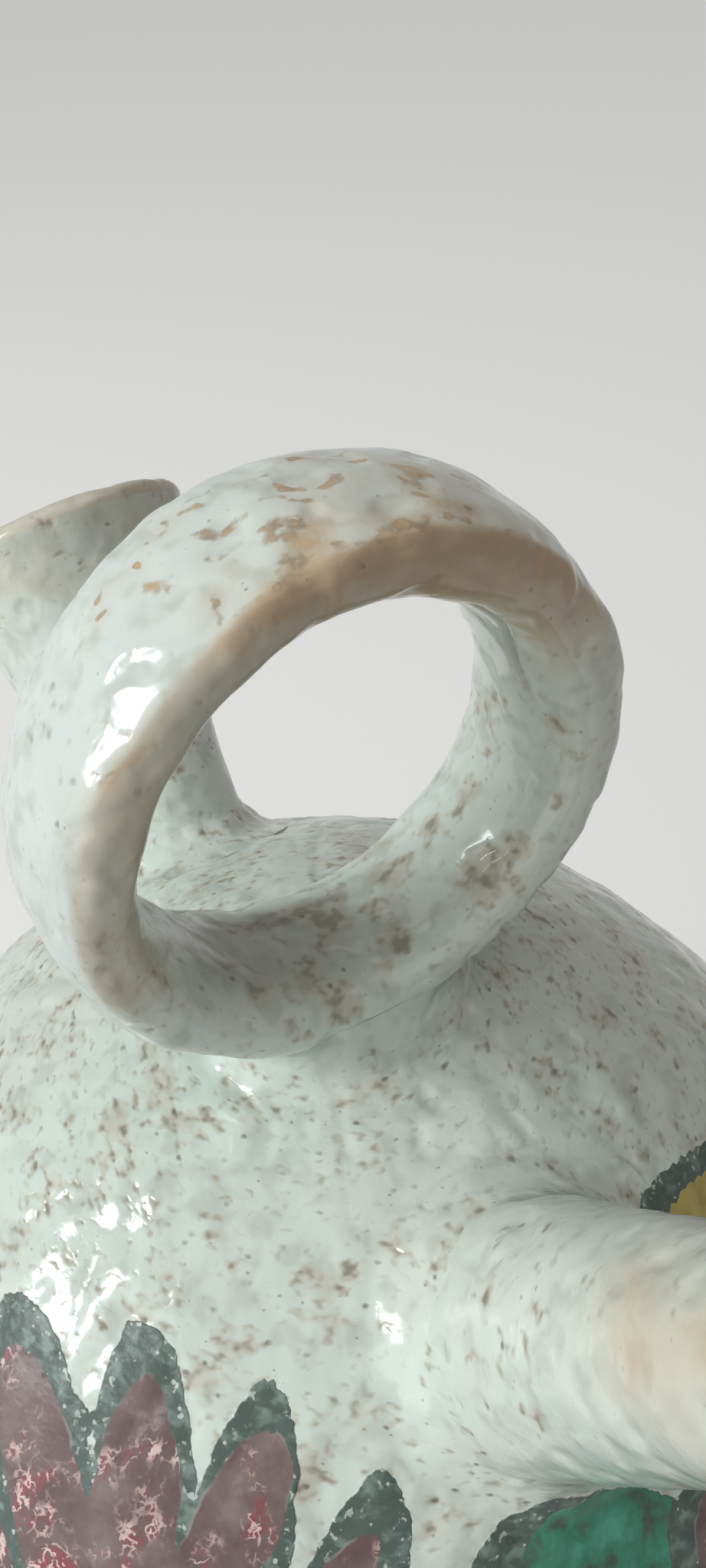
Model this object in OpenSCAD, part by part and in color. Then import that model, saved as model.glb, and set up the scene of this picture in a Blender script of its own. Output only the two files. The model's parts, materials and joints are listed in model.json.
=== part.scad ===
// Round-bellied drinking jug in glazed earthenware, in millimetres.
// The body is thrown in two halves, a flat-based bowl and a closed dome. A strap ring handle stands on
// top of the dome across the line of the two tubes: a flared neck for filling and a tapered spout for
// drinking. Both tubes point straight out from the centre of the dome. Clay coils lute each tube to the
// dome, and a clay saddle beds the handle.
// Origin: centre of the flat base, +Z up, spout towards -Y, neck towards +Y, handle in the XZ plane.

/* [Body] */
// Outer radius of the round dome, and of the belly at its widest
dome_r = 107; // [95:1:130]
// Radius of the arc that draws the lower flank in towards the base
flank_r = 138; // [125:1:180]
// Height of the widest line, where the two halves of the body join
equator_h = 98; // [80:1:105]
// Thickness of the body wall
wall = 6.5; // [5:0.5:10]
// Thickness of the flat base
base_t = 8; // [6:0.5:14]
// Bevel round the edge of the base
base_bevel = 2; // [1:0.5:4]

/* [Belly joint] */
// Height of the lip of the bowl that laps inside the dome
lap_h = 5; // [3:0.5:8]
// Thickness of the slip between lapped faces
slip_gap = 0.1; // [0:0.05:0.3]

/* [Ring handle] */
// Clear opening of the ring
handle_hole_d = 60; // [50:1:75]
// Thickness of the strap, measured outwards from the opening
strap_t = 12.5; // [9:0.5:16]
// Width of the strap, measured through the opening
strap_w = 28; // [20:1:36]
// Squareness of the strap's oval section: 2 is an ellipse
strap_squareness = 2.3; // [2:0.1:4]
// Height of the strap's lowest point above the top of the dome
handle_rise = 2; // [1:0.5:5]

/* [Handle saddle] */
// How far the clay of the saddle stands out past the edges of the strap
saddle_margin = 1; // [0.5:0.5:4]
// Radius of the hollow between the saddle and the dome
saddle_blend_r = 11; // [6:0.5:16]

/* [Filling neck] */
// Angle of the neck above the horizontal
neck_elevation = 50; // [40:1:60]
// Bore of the straight throat
throat_d = 22; // [16:1:30]
// Wall of the neck
neck_wall = 5; // [3.5:0.5:7]
// Height of the waist above the dome
neck_waist_h = 12; // [8:1:20]
// Length of the neck above the dome
neck_len = 69.5; // [50:0.5:95]
// Outer diameter of the rim
neck_rim_d = 53.5; // [46:0.5:70]
// Radius of the hollow between the neck and the dome
neck_blend_r = 12; // [6:0.5:16]

/* [Drinking spout] */
// Angle of the spout above the horizontal
spout_elevation = 59.1; // [50:0.1:65]
// Outer diameter where the spout meets the dome
spout_root_d = 36; // [28:1:44]
// Length of the spout above the dome
spout_len = 74; // [50:1:95]
// Outer diameter at the tip
spout_tip_d = 18.5; // [14:0.5:24]
// Wall of the spout
spout_wall = 5; // [3.5:0.5:6.5]
// Bore of the drinking hole
nozzle_d = 7; // [4:0.5:9]
// Length of the drinking hole
nozzle_len = 16; // [10:1:24]
// Radius of the hollow between the spout and the dome
spout_blend_r = 13; // [6:0.5:16]

/* [Luting] */
// Thickness of the smoothed edges of coils and saddle
feather = 0.5; // [0.3:0.1:1]

/* [Colours] */
// Speckled white glaze
glaze_colour = "#dfe3de"; // color
// White glaze that breaks to warm clay over the handle
handle_colour = "#dcd6cc"; // color

/* [Hidden] */
$fn = 240;

// Number of straight steps along a curved stretch of a profile
arc_steps = 16;
// How far a piece runs below the dome's surface before the dome's own sphere trims it
bed_depth = 12;

flank_x = dome_r - flank_r;
lap_mid_r = dome_r - wall / 2;
strap_mid_r = handle_hole_d / 2 + strap_t / 2;
handle_z = equator_h + dome_r + handle_rise + strap_t + handle_hole_d / 2;

throat_r = throat_d / 2;
neck_waist_r = throat_r + neck_wall;
neck_rim_r = neck_rim_d / 2;
neck_waist_s = dome_r + neck_waist_h;
rim_round_r = neck_wall / 2;
neck_rim_s = dome_r + neck_len - rim_round_r;

spout_root_r = spout_root_d / 2;
spout_bore_r = spout_root_r - spout_wall;
spout_tip_r = spout_tip_d / 2;
spout_tip_s = dome_r + spout_len;
nozzle_r = nozzle_d / 2;
spout_taper = (spout_root_r - spout_tip_r) / spout_len;
tip_round_r = (spout_tip_r - nozzle_r) / 2;

// Points along an arc about centre c, from angle a0 to angle a1
function arc(c, r, a0, a1) =
    [for (i = [0:arc_steps]) let (a = a0 + (a1 - a0) * i / arc_steps) c + r * [cos(a), sin(a)]];

// Outer radius of the spout at distance s from the centre of the dome
function spout_r(s) = spout_root_r - spout_taper * (s - dome_r);

// Centre of the hollow arc that touches a wall of radius core_r and the dome, both thickened by the feather
function blend_centre(core_r, blend_r) =
    let (x = core_r + feather + blend_r, d = dome_r + feather + blend_r) [x, sqrt(d * d - x * x)];

// Outline from the wall down the hollow arc to a point bedded below the dome's surface
function blend_outline(core_r, blend_r) =
    let (c = blend_centre(core_r, blend_r), tilt = atan2(c[1], c[0]), bed = dome_r - bed_depth)
    concat(arc(c, blend_r, 180, 180 + tilt), [bed * [cos(tilt), sin(tilt)]]);

// Outline of the strap's oval section
function oval(t, w, n) =
    [for (i = [0:4 * arc_steps - 1]) let (a = 90 * i / arc_steps, c = cos(a), s = sin(a))
        [t / 2 * sign(c) * pow(abs(c), 2 / n), w / 2 * sign(s) * pow(abs(s), 2 / n)]];

// Places children on the centre of the dome, with their Z along a tube's axis
module along_neck() {
    translate([0, 0, equator_h]) rotate([neck_elevation - 90, 0, 0]) children();
}

module along_spout() {
    translate([0, 0, equator_h]) rotate([90 - spout_elevation, 0, 0]) children();
}

// Solid ball of the dome's outer surface, used to seat pieces on it
module dome_ball() {
    translate([0, 0, equator_h]) sphere(r = dome_r);
}

// Lower half of the body, with a lip that laps inside the dome
module body_bowl() {
    color(glaze_colour) {
        rotate_extrude() difference() {
            intersection() {
                translate([flank_x, equator_h]) circle(r = flank_r);
                square([dome_r + wall, equator_h]);
            }
            intersection() {
                translate([flank_x, equator_h]) circle(r = flank_r - wall);
                translate([0, base_t]) square([dome_r, equator_h]);
            }
            base_edge_cut();
        }
        translate([0, 0, equator_h]) difference() {
            cylinder(r = lap_mid_r - slip_gap, h = lap_h - slip_gap);
            translate([0, 0, -lap_h]) cylinder(r = dome_r - wall, h = 3 * lap_h);
        }
    }
}

// Corner taken off the profile round the base
module base_edge_cut() {
    base_r = flank_x + sqrt(flank_r * flank_r - equator_h * equator_h);
    polygon([[base_r - base_bevel, -base_bevel], [base_r - base_bevel, 0],
             [base_r + base_bevel, 2 * base_bevel], [base_r + 3 * base_bevel, -base_bevel]]);
}

// Upper half of the body: a closed dome with a hole cut under each tube
module body_dome() {
    color(glaze_colour) difference() {
        translate([0, 0, equator_h]) rotate_extrude() intersection() {
            difference() {
                circle(r = dome_r);
                circle(r = dome_r - wall);
            }
            square(dome_r + wall);
        }
        translate([0, 0, equator_h - lap_h]) cylinder(r = lap_mid_r, h = 2 * lap_h);
        along_neck() cylinder(r = throat_r, h = dome_r + wall);
        along_spout() cylinder(r = spout_bore_r, h = dome_r + wall);
    }
}

// Strap of oval section bent round into a closed ring
module handle_ring() {
    color(handle_colour) translate([0, 0, handle_z]) rotate([90, 0, 0]) rotate_extrude()
        translate([strap_mid_r, 0]) polygon(oval(strap_t, strap_w, strap_squareness));
}

// Pad of clay between the strap and the top of the dome
module handle_saddle() {
    core_r = strap_w / 2 + saddle_margin;
    c = blend_centre(core_r, saddle_blend_r);
    color(glaze_colour) difference() {
        translate([0, 0, equator_h]) rotate_extrude()
            polygon(concat([[0, dome_r - bed_depth], [0, c[1]]], blend_outline(core_r, saddle_blend_r)));
        dome_ball();
        handle_ring();
    }
}

// Trumpet-shaped filling neck with a straight throat and a rounded rim
module filling_neck() {
    flare_h = neck_rim_s - neck_waist_s;
    flare_out = neck_rim_r - neck_waist_r;
    flare_r = (flare_h * flare_h + flare_out * flare_out) / (2 * flare_out);
    flare_c = [neck_waist_r + flare_r, neck_waist_s];
    flare_a = asin(flare_h / flare_r);
    rim_c = flare_c + (flare_r + rim_round_r) * [-cos(flare_a), sin(flare_a)];
    color(glaze_colour) difference() {
        along_neck() rotate_extrude() polygon(concat(
            [[neck_waist_r, dome_r - bed_depth]],
            arc(flare_c, flare_r, 180, 180 - flare_a),
            arc(rim_c, rim_round_r, -flare_a, 180 - flare_a),
            arc(flare_c, flare_r + neck_wall, 180 - flare_a, 180),
            [[throat_r, dome_r - bed_depth]]));
        dome_ball();
    }
}

// Coil of clay smoothed into the corner between the neck and the dome
module filling_neck_coil() {
    color(glaze_colour) difference() {
        along_neck() rotate_extrude() polygon(concat(
            [[neck_waist_r, dome_r - bed_depth], [neck_waist_r, blend_centre(neck_waist_r, neck_blend_r)[1]]],
            blend_outline(neck_waist_r, neck_blend_r)));
        dome_ball();
    }
}

// Tapered drinking spout that narrows inside to a small straight hole
module drinking_spout() {
    tip_c = [nozzle_r + tip_round_r, spout_tip_s - tip_round_r];
    nozzle_s = spout_tip_s - nozzle_len;
    foot_s = dome_r - bed_depth;
    color(glaze_colour) difference() {
        along_spout() rotate_extrude() polygon(concat(
            [[spout_r(foot_s), foot_s], [spout_r(tip_c[1]), tip_c[1]]],
            arc(tip_c, tip_round_r, 0, 180),
            [[nozzle_r, nozzle_s], [spout_bore_r, dome_r], [spout_bore_r, foot_s]]));
        dome_ball();
    }
}

// Coil of clay smoothed into the corner between the spout and the dome
module drinking_spout_coil() {
    foot_s = dome_r - bed_depth;
    top_s = blend_centre(spout_root_r, spout_blend_r)[1];
    color(glaze_colour) difference() {
        along_spout() rotate_extrude() polygon(concat(
            [[spout_r(foot_s), foot_s], [spout_r(top_s), top_s]],
            blend_outline(spout_root_r, spout_blend_r)));
        dome_ball();
    }
}

body_bowl();
body_dome();
handle_ring();
handle_saddle();
filling_neck();
filling_neck_coil();
drinking_spout();
drinking_spout_coil();
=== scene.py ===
import json
import math
import bpy
import numpy as np
from mathutils import Matrix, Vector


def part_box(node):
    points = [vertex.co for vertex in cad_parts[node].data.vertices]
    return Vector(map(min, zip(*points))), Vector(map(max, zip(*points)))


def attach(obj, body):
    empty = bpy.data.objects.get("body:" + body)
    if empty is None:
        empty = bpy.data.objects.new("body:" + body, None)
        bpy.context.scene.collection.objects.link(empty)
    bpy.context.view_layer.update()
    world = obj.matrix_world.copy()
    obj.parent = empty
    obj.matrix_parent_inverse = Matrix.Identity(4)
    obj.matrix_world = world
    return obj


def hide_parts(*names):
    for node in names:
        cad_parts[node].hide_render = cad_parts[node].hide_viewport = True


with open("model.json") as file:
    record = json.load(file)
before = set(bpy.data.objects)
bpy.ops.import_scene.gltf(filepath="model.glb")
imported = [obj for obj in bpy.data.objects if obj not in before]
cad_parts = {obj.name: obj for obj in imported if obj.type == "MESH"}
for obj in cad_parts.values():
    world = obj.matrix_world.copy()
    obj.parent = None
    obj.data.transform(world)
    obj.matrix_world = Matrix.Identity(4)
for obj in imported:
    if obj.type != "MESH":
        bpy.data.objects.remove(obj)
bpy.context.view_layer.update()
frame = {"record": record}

mm = 0.001  # every size below is in millimetres, and meshes are written in metres
tiny = 1e-12  # keeps a division by a length from failing


# measures read from the frame
def boxInMm(node):
    # lowest and highest corner of a node
    low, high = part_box(node)
    return np.array(low) / mm, np.array(high) / mm


mounts = {mount["name"]: mount for mount in frame["record"]["mounts"]}
domeHigh = boxInMm("body_dome")[1]
domeR = domeHigh[0]
apexZ = domeHigh[2]
bodyCentre = np.array([0.0, 0.0, apexZ - domeR])
ringLow, ringHigh = boxInMm("handle_ring")
ringZ = (ringLow[2] + ringHigh[2]) / 2
ringOuterR = ringHigh[0]
strapHalfWidth = ringHigh[1]
neckAxis = np.array(mounts["filling_throat"]["axis"])
spoutAxis = np.array(mounts["drinking_nozzle"]["axis"])
throatR = mounts["filling_throat"]["dims"]["r_mm"]
nozzleR = mounts["drinking_nozzle"]["dims"]["r_mm"]
upAxis = np.array([0.0, 0.0, 1.0])
print("frame read: dome radius %.1f mm, ring centre %.1f mm up" % (domeR, ringZ))


# small number helpers, all on whole arrays
def smoothStep(low, high, x):
    # eased ramp from 0 at low to 1 at high
    t = np.clip((x - low) / (high - low), 0, 1)
    return t * t * (3 - 2 * t)


def plateau(x, rise, fall):
    # eased up over one span and down again over another
    return smoothStep(*rise, x) * (1 - smoothStep(*fall, x))


def stepped(x, start, *steps):
    # a start plus eased steps, each given by where it begins, where it ends and its height
    return start + sum(height * smoothStep(low, high, x) for low, high, height in steps)


def bell(x, middle, width):
    # bell curve of height 1
    return np.exp(-(((x - middle) / width) ** 2))


def unitRows(vectors):
    # vectors brought to length 1
    return vectors / np.maximum(np.linalg.norm(vectors, axis=-1, keepdims=True), tiny)


def dotRows(first, second):
    # scalar product of each pair of vectors, kept as a column
    return np.sum(first * second, -1, keepdims=True)


def fullTurn(count):
    # angles all the way round, without the first one again at the end
    return np.linspace(0, 2 * np.pi, count, endpoint=False)


noiseSettings = {
    "primes": (73856093, 19349663, 83492791),
    "seedStep": 7919,
    "rounds": ((1274126177, 15), (1103515245, 13)),  # factor and shift
    "lastShift": 16,
    "mask": 0xFFFFFFFF,
    "slopeShifts": (0, 10, 20),
    "slopeMask": 1023,
}


def cornerHash(cells, seed):
    # mixed integer hash of lattice corners
    s = noiseSettings
    h = (cells @ np.array(s["primes"], np.int64) + seed * s["seedStep"]) & s["mask"]
    for factor, shift in s["rounds"]:
        h = ((h ^ (h >> shift)) * factor) & s["mask"]
    return h ^ (h >> s["lastShift"])


def gradientNoise(points, wavelength, seed):
    # each lattice corner has a random slope; the eight slopes round a point are blended with the
    # usual quintic fade
    s = noiseSettings
    q = points / wavelength
    cell = np.floor(q).astype(np.int64)
    f = q - cell
    fade = f * f * f * (f * (f * 6 - 15) + 10)
    total = np.zeros(len(q))
    for corner in np.ndindex(2, 2, 2):
        c = np.array(corner)
        h = cornerHash(cell + c, seed)
        draws = np.stack([(h >> shift) & s["slopeMask"] for shift in s["slopeShifts"]], -1)
        slope = draws / (s["slopeMask"] / 2) - 1
        weight = np.prod(np.where(c == 1, fade, 1 - fade), axis=-1)
        total += weight * np.sum(slope * (f - c), axis=-1)
    return total


def mottled(points, middle, depth, wavelength, seed):
    # soft noise about a middle value
    return middle + depth * gradientNoise(points, wavelength, seed)


lumpSettings = {
    "waves": ((38, 0.6, 1), (14, 0.5, 2), (7.0, 0.62, 3)),  # wavelength, height, seed
    "pits": (4.6, 0.42, 4),
    "pitRamp": (0.02, 0.5),  # noise at which a pit begins, and at which it is deepest
}


def glazeLumps(points):
    # height of the hand-made surface: broad unevenness and soft ripples, less shallow pits
    height = np.zeros(len(points))
    for wavelength, size, seed in lumpSettings["waves"]:
        height += size * gradientNoise(points, wavelength, seed)
    wavelength, size, seed = lumpSettings["pits"]
    return height - size * smoothStep(*lumpSettings["pitRamp"], gradientNoise(points, wavelength, seed))


# mesh helpers
def gridQuads(rows, columns, wrapRows):
    # quads of a grid that closes along its columns, and along its rows if asked
    i = np.arange(rows if wrapRows else rows - 1)[:, None]
    j = np.arange(columns)[None, :]
    here = i * columns
    below = (i + 1) % rows * columns
    right = (j + 1) % columns
    return np.stack([here + j, here + right, below + right, below + j], -1).reshape(-1, 4)


def poleFan(row, columns, pole):
    # triangles from one row of a grid to a pole
    j = np.arange(columns)
    return np.stack([row * columns + j, row * columns + (j + 1) % columns, np.full(columns, pole)], -1)


def cappedGrid(rows, columns):
    # faces of a grid with a pole before its first row and one after its last
    pole = rows * columns
    fans = [poleFan(0, columns, pole)[:, ::-1], poleFan(rows - 1, columns, pole + 1)]
    return [gridQuads(rows, columns, False), *fans]


def signedVolume(points, faces):
    # sum of the volumes of the tetrahedra from the origin to each face
    a, b, c = (points[faces[:, k]] for k in (0, 1, 2))
    total = np.sum(np.einsum("ij,ij->i", a, np.cross(b, c)))
    if faces.shape[1] == 4:
        d = points[faces[:, 3]]
        total += np.sum(np.einsum("ij,ij->i", a, np.cross(c, d)))
    return total


def linked(name, data):
    # object at the origin, put into the scene
    made = bpy.data.objects.new(name, data)
    bpy.context.scene.collection.objects.link(made)
    return made


def addPiece(name, points, faceSets):
    # mesh object from points in millimetres, with its faces turned outwards
    outward = sum(signedVolume(points, faces) for faces in faceSets) > 0
    faces = [face for group in faceSets for face in (group if outward else group[:, ::-1]).tolist()]
    mesh = bpy.data.meshes.new(name)
    mesh.from_pydata((points * mm).tolist(), [], faces)
    mesh.update()
    return linked(name, mesh)


def vertexVectors(piece, key):
    # one vector for each vertex, its place or its normal
    values = np.zeros(len(piece.data.vertices) * 3)
    piece.data.vertices.foreach_get(key, values)
    return values.reshape(-1, 3)


def setPoints(piece, points):
    # vertices moved to points in millimetres
    piece.data.vertices.foreach_set("co", (points * mm).ravel())
    piece.data.update()


def setLayers(piece, **layers):
    # values that the glazes read, one for each vertex: numbers, or vectors in rows of three
    for name, values in layers.items():
        kind, key = ("FLOAT_VECTOR", "vector") if values.shape[-1] == 3 else ("FLOAT", "value")
        layer = piece.data.attributes.new(name, kind, "POINT")
        layer.data.foreach_set(key, values.astype(np.float32).ravel())


sharpDegrees = 50  # edges that turn further than this stay crisp


def smoothShade(piece):
    # smooth faces with crisp edges, and joins shaded as they were worked out
    piece.data.polygons.foreach_set("use_smooth", np.ones(len(piece.data.polygons), bool))
    piece.data.set_sharp_from_angle(angle=math.radians(sharpDegrees))
    if piece.name in joinShading:
        piece.data.normals_split_custom_set_from_vertices(joinShading[piece.name].tolist())


joinShading = {}  # directions in which the smoothed edges of a piece are shaded, by its name
leanStep = 0.05  # how far to each side the lumps are compared to find their slope


def leant(points, directions, lumps):
    # directions leant by the slope of the lumps, taken over a small step along each axis
    steps = leanStep * np.eye(3)
    slope = np.stack([lumps(points + e) - lumps(points - e) for e in steps], -1) / (2 * leanStep)
    return unitRows(directions - slope + dotRows(slope, directions) * directions)


def shadeJoins(piece, joins):
    # near an edge a piece is shaded like what it meets, by weight, so that the join doesn't show
    own = vertexVectors(piece, "normal")
    for weight, directions in joins:
        own = own * (1 - weight)[:, None] + directions * weight[:, None]
    joinShading[piece.name] = unitRows(own)


def axisFrame(axis):
    # two directions across an axis that lies in the YZ plane
    first = np.array([1.0, 0.0, 0.0])
    return first, np.cross(axis, first)


def revolve(profile, columns, axis, start=bodyCentre):
    # a profile of (radius, distance from the start) carried round an axis through the start
    first, second = axisFrame(axis)
    a = fullTurn(columns)[:, None]
    across = np.cos(a) * first + np.sin(a) * second
    return (start + profile[:, None, :1] * across + profile[:, None, 1:] * axis).reshape(-1, 3)


def closedRevolve(name, profile, columns, axis):
    # a profile that starts and ends on the axis, carried round it and closed with a pole at each end
    poles = bodyCentre + profile[[0, -1], 1:] * axis
    points = np.concatenate([revolve(profile[1:-1], columns, axis), poles])
    return addPiece(name, points, cappedGrid(len(profile) - 2, columns))


def profileNormals(profile):
    # normals of a closed profile, from the slope between neighbours
    slope = np.roll(profile, -1, 0) - np.roll(profile, 1, 0)
    return unitRows(np.stack([slope[:, 1], -slope[:, 0]], -1))


def arcPoints(centre, radius, startDegrees, endDegrees, count):
    # points along an arc of a circle
    a = np.radians(np.linspace(startDegrees, endDegrees, count))
    return np.array(centre) + radius * np.stack([np.cos(a), np.sin(a)], -1)


def linePoints(start, end, count):
    # points along a straight line
    t = np.linspace(0, 1, count)[:, None]
    return np.array(start) * (1 - t) + np.array(end) * t


# flow coordinates: glaze marks are drawn out along the turn of the wheel, so that direction is shortened
flowStretch = 1.2
ringStretch = 1.12


def wheelFlow(points, axis, along=None):
    # about an axis through the body's centre: the turn is shortened, and distance along the wall is kept
    offset = points - bodyCentre
    first, second = axisFrame(axis)
    s = offset @ axis if along is None else along
    return np.stack([offset @ first / flowStretch, offset @ second / flowStretch, s], -1)


def bodyFlow(points):
    # on the body and what is smoothed onto it: arc down from the top of the dome, less the height above it
    offset = points - bodyCentre
    polar = np.arctan2(np.hypot(offset[:, 0], offset[:, 1]), offset[:, 2])
    height = np.linalg.norm(offset, axis=1) - domeR
    return wheelFlow(points, upAxis, domeR * polar - height)


# painted flowers, as signed distances on the body in millimetres: below zero is inside
flowerSettings = {
    # a petal is: degrees from straight up, reach, half width, sideways lean of its tip, fullness
    # and outward skew
    # centres are degrees down from the top and degrees round from the spout
    "daisies": [
        {
            "centre": (62, -53), "colour": "burgundy", "heart": "ochre",
            "turned": 72.2, "petals": 14, "gap": 19.6,
            "ownPetals": [  # outline and fill of each
                ((-17.3, 61.7, 9.5, -11.1, 0.50, 1.72), (-12.4, 53.8, 6.8, -14.1, 0.41, 1.92)),
                ((9.3, 58.4, 8.2, -15.6, 0.29, 1.75), (5.6, 54.4, 6.7, -8.6, 0.65, 1.58)),
                ((33.5, 56.9, 8.9, -19.8, 0.36, 1.42), (22.2, 55.6, 5.7, -4.6, 0.40, 2.26)),
                ((52.9, 57.8, 7.3, -19.2, 0.20, 2.5), (47.0, 54.4, 4.4, -10.4, 0.45, 1.5)),
            ],
        },
        {
            "centre": (82, 106), "colour": "ochre", "heart": "teal",
            "turned": 0.0, "petals": 18, "gap": 20.0,
        },
        {
            "centre": (82, -126), "colour": "burgundy", "heart": "ochre",
            "turned": 0.0, "petals": 18, "gap": 20.0,
        },
    ],
    "daisyOutline": (0.0, 58.5, 8.6, -16.0, 0.36, 1.55),
    "daisyFill": (-6.5, 54.6, 6.2, -8.0, 0.48, 1.85),
    "daisyStart": 8.0,
    "daisyReach": 60.0,
    "daisyHeart": 12.0,
    "daisyWear": 0.42,  # how worn the paint is at most towards a heart
    "roses": [(60, 20), (84, 176)],
    # broad outer petals of a rose, outline and fill of each
    "rosePetals": [
        ((-59.8, 62.0, 17.5, 2.8, 0.41, 2.37), (-59.8, 55.4, 16.4, 2.6, 0.36, 2.4), "teal"),
        ((19.5, 56.6, 21.0, 0.0, 0.20, 1.25), (20.0, 53.0, 17.5, 0.0, 0.25, 1.25), "ochre"),
        ((78, 60, 18.5, 0.0, 0.36, 1.5), (78, 54.5, 16.2, 0.0, 0.36, 1.5), "teal"),
        ((136, 60, 18.5, 0.0, 0.36, 1.5), (136, 54.5, 16.2, 0.0, 0.36, 1.5), "ochre"),
        ((196, 60, 18.5, 0.0, 0.36, 1.5), (196, 54.5, 16.2, 0.0, 0.36, 1.5), "teal"),
        ((250, 60, 17.5, 0.0, 0.36, 1.5), (250, 54.5, 15.2, 0.0, 0.36, 1.5), "ochre"),
    ],
    # small flower over the middle of a rose
    "innerCount": 9,
    "innerOutline": (0.0, 34.0, 12.5, 0.0, 0.58, 1.25),
    "innerFill": (0.0, 29.4, 9.5, 0.0, 0.58, 1.25),
    "innerStart": 2.0,
    "innerReach": 34.0,
    "innerHeart": 8.0,
    "innerWear": 0.8,
    "heartLine": 3.0,  # width of the dark line round a heart
    "wander": (1.2, 2.0, 0.5),  # how far a petal strays in angle, reach and width
    "seed": 7,
    "farAway": 99.0,
    "bendPast": 1.1,  # a petal bends up to this share of its length
    "ends": (0.001, 0.999),  # shares of its length between which a petal has a width
    "steepest": 2.5,
}
paintColours = ("burgundy", "ochre", "teal")


def wallMap(points, centre):
    # flat map of the wall about a centre: u runs round the body and v towards the top, in millimetres of arc
    polar, azimuth = np.radians(centre)
    out = np.array([np.sin(polar) * np.sin(azimuth), -np.sin(polar) * np.cos(azimuth), np.cos(polar)])
    east = np.array([np.cos(azimuth), np.sin(azimuth), 0.0])
    north = np.cross(out, east)
    direction = unitRows(points - bodyCentre)
    angle = np.arccos(np.clip(direction @ out, -1, 1))
    flat = unitRows(np.stack([direction @ east, direction @ north], -1))
    return domeR * angle[:, None] * flat


def petalDistance(uv, start, petal):
    # petal along a ray: its half width is a power of a skewed sine, and it bends sideways
    # as the square of the way out
    s = flowerSettings
    degrees, reach, width, lean, fullness, skew = petal
    angle = np.radians(degrees)
    ray = np.array([np.sin(angle), np.cos(angle)])
    length = reach - start
    t = (uv @ ray - start) / length
    side = uv @ np.array([ray[1], -ray[0]]) - lean * np.clip(t, 0, s["bendPast"]) ** 2
    way = np.clip(t, *s["ends"])
    half = width * np.sin(np.pi * way ** skew) ** fullness
    past = length * np.maximum(np.maximum(t - 1, -t), 0)
    beside = np.abs(side) - half
    # the steepness of the edge turns the gap across the ray into a distance
    steep = half * fullness / np.tan(np.pi * way ** skew) * np.pi * skew * way ** (skew - 1) / length
    steep = np.clip(steep + np.sign(side) * 2 * lean * way / length, -s["steepest"], s["steepest"])
    return np.where(past > 0, np.hypot(np.maximum(beside, 0), past), beside / np.hypot(1, steep))


def strayed(petal, degrees, draw):
    # a petal turned about the flower's centre, with its own small differences
    strays = np.array(draw) * flowerSettings["wander"]
    return (petal[0] + degrees + strays[0], petal[1] + strays[1], petal[2] + strays[2], *petal[3:])


def petalRing(outlinePetal, fillPetal, turned, gap, count, rng):
    # pairs of outline and fill, evenly spaced from a first angle
    draws = rng.uniform(-1, 1, (count, 3))
    spaced = [turned + gap * k for k in range(count)]
    return [(strayed(outlinePetal, a, d), strayed(fillPetal, a, d)) for a, d in zip(spaced, draws)]


def nearestPair(uv, start, petals):
    # distance to the nearest outline and to the nearest fill of several petals
    return (np.min([petalDistance(uv, start, pair[k]) for pair in petals], axis=0) for k in (0, 1))


def paintedDistances(points):
    # signed distance to the dark outlines and to each colour's fill, and how far in towards a flower's heart
    s = flowerSettings
    rng = np.random.default_rng(s["seed"])
    found = {name: np.full(len(points), s["farAway"]) for name in ("outline", *paintColours)}
    found["heart"] = np.zeros(len(points))

    def add(name, distance):
        # the nearer of what is there already and the new distance
        found[name] = np.minimum(found[name], distance)

    for flower in s["daisies"]:
        uv = wallMap(points, flower["centre"])
        near = np.hypot(uv[:, 0], uv[:, 1])
        spacing = (flower["turned"], flower["gap"], flower["petals"])
        petals = petalRing(s["daisyOutline"], s["daisyFill"], *spacing, rng) + flower.get("ownPetals", [])
        outline, fill = nearestPair(uv, s["daisyStart"], petals)
        add("outline", np.minimum(outline, near - s["daisyHeart"]))
        add(flower["colour"], np.maximum(fill, s["daisyHeart"] - near))
        add(flower["heart"], near - s["daisyHeart"] + s["heartLine"])
        found["heart"] = np.maximum(found["heart"], np.minimum(1 - near / s["daisyReach"], s["daisyWear"]))
    for centre in s["roses"]:
        uv = wallMap(points, centre)
        near = np.hypot(uv[:, 0], uv[:, 1])
        count = s["innerCount"]
        inner = petalRing(s["innerOutline"], s["innerFill"], 0.0, 360 / count, count, rng)
        top, topFill = nearestPair(uv, s["innerStart"], inner)
        top = np.minimum(top, near - s["innerHeart"])
        for outline, fill, colour in s["rosePetals"]:
            add("outline", petalDistance(uv, 0.0, outline))
            add(colour, np.maximum(petalDistance(uv, 0.0, fill), -top))
        add("outline", top)
        add("burgundy", np.maximum(topFill, s["innerHeart"] - near))
        add("ochre", near - s["innerHeart"] + s["heartLine"])
        found["heart"] = np.maximum(found["heart"], s["innerWear"] * (1 - near / s["innerReach"]))
    return found


def paintPiece(piece, points):
    # flow and painted flowers of the body, for a piece whose plain points are given
    painted = {name + "Paint": values for name, values in paintedDistances(points).items()}
    setLayers(piece, flow=bodyFlow(points), **painted)


# body: a dome and a bowl that meet at the belly
bodySettings = {
    "wall": 6.5,
    "columns": 540,
    "domeRows": 134,
    "flankRows": 92,
    "innerRows": 24,
    "baseRows": 10,
    "floorRows": 8,
    "baseBevel": 2.0,
    "flankR": 138.0,
    "baseT": 8.0,
    "cutDepth": 24.0,  # how far a bore is cut to both sides of the dome's face
    "cutSides": 96,
    "skin": 0.01,  # a point this near the outer face belongs to it
    "footFade": 6.0,  # lumps die away over this height above the base
    "bareRamp": (2.2, 3.4),  # the glaze starts between these heights
    "bareEdge": (0.0, 0.6, 16, 41),  # noise in that edge: middle, depth, wavelength, seed
}


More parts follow.
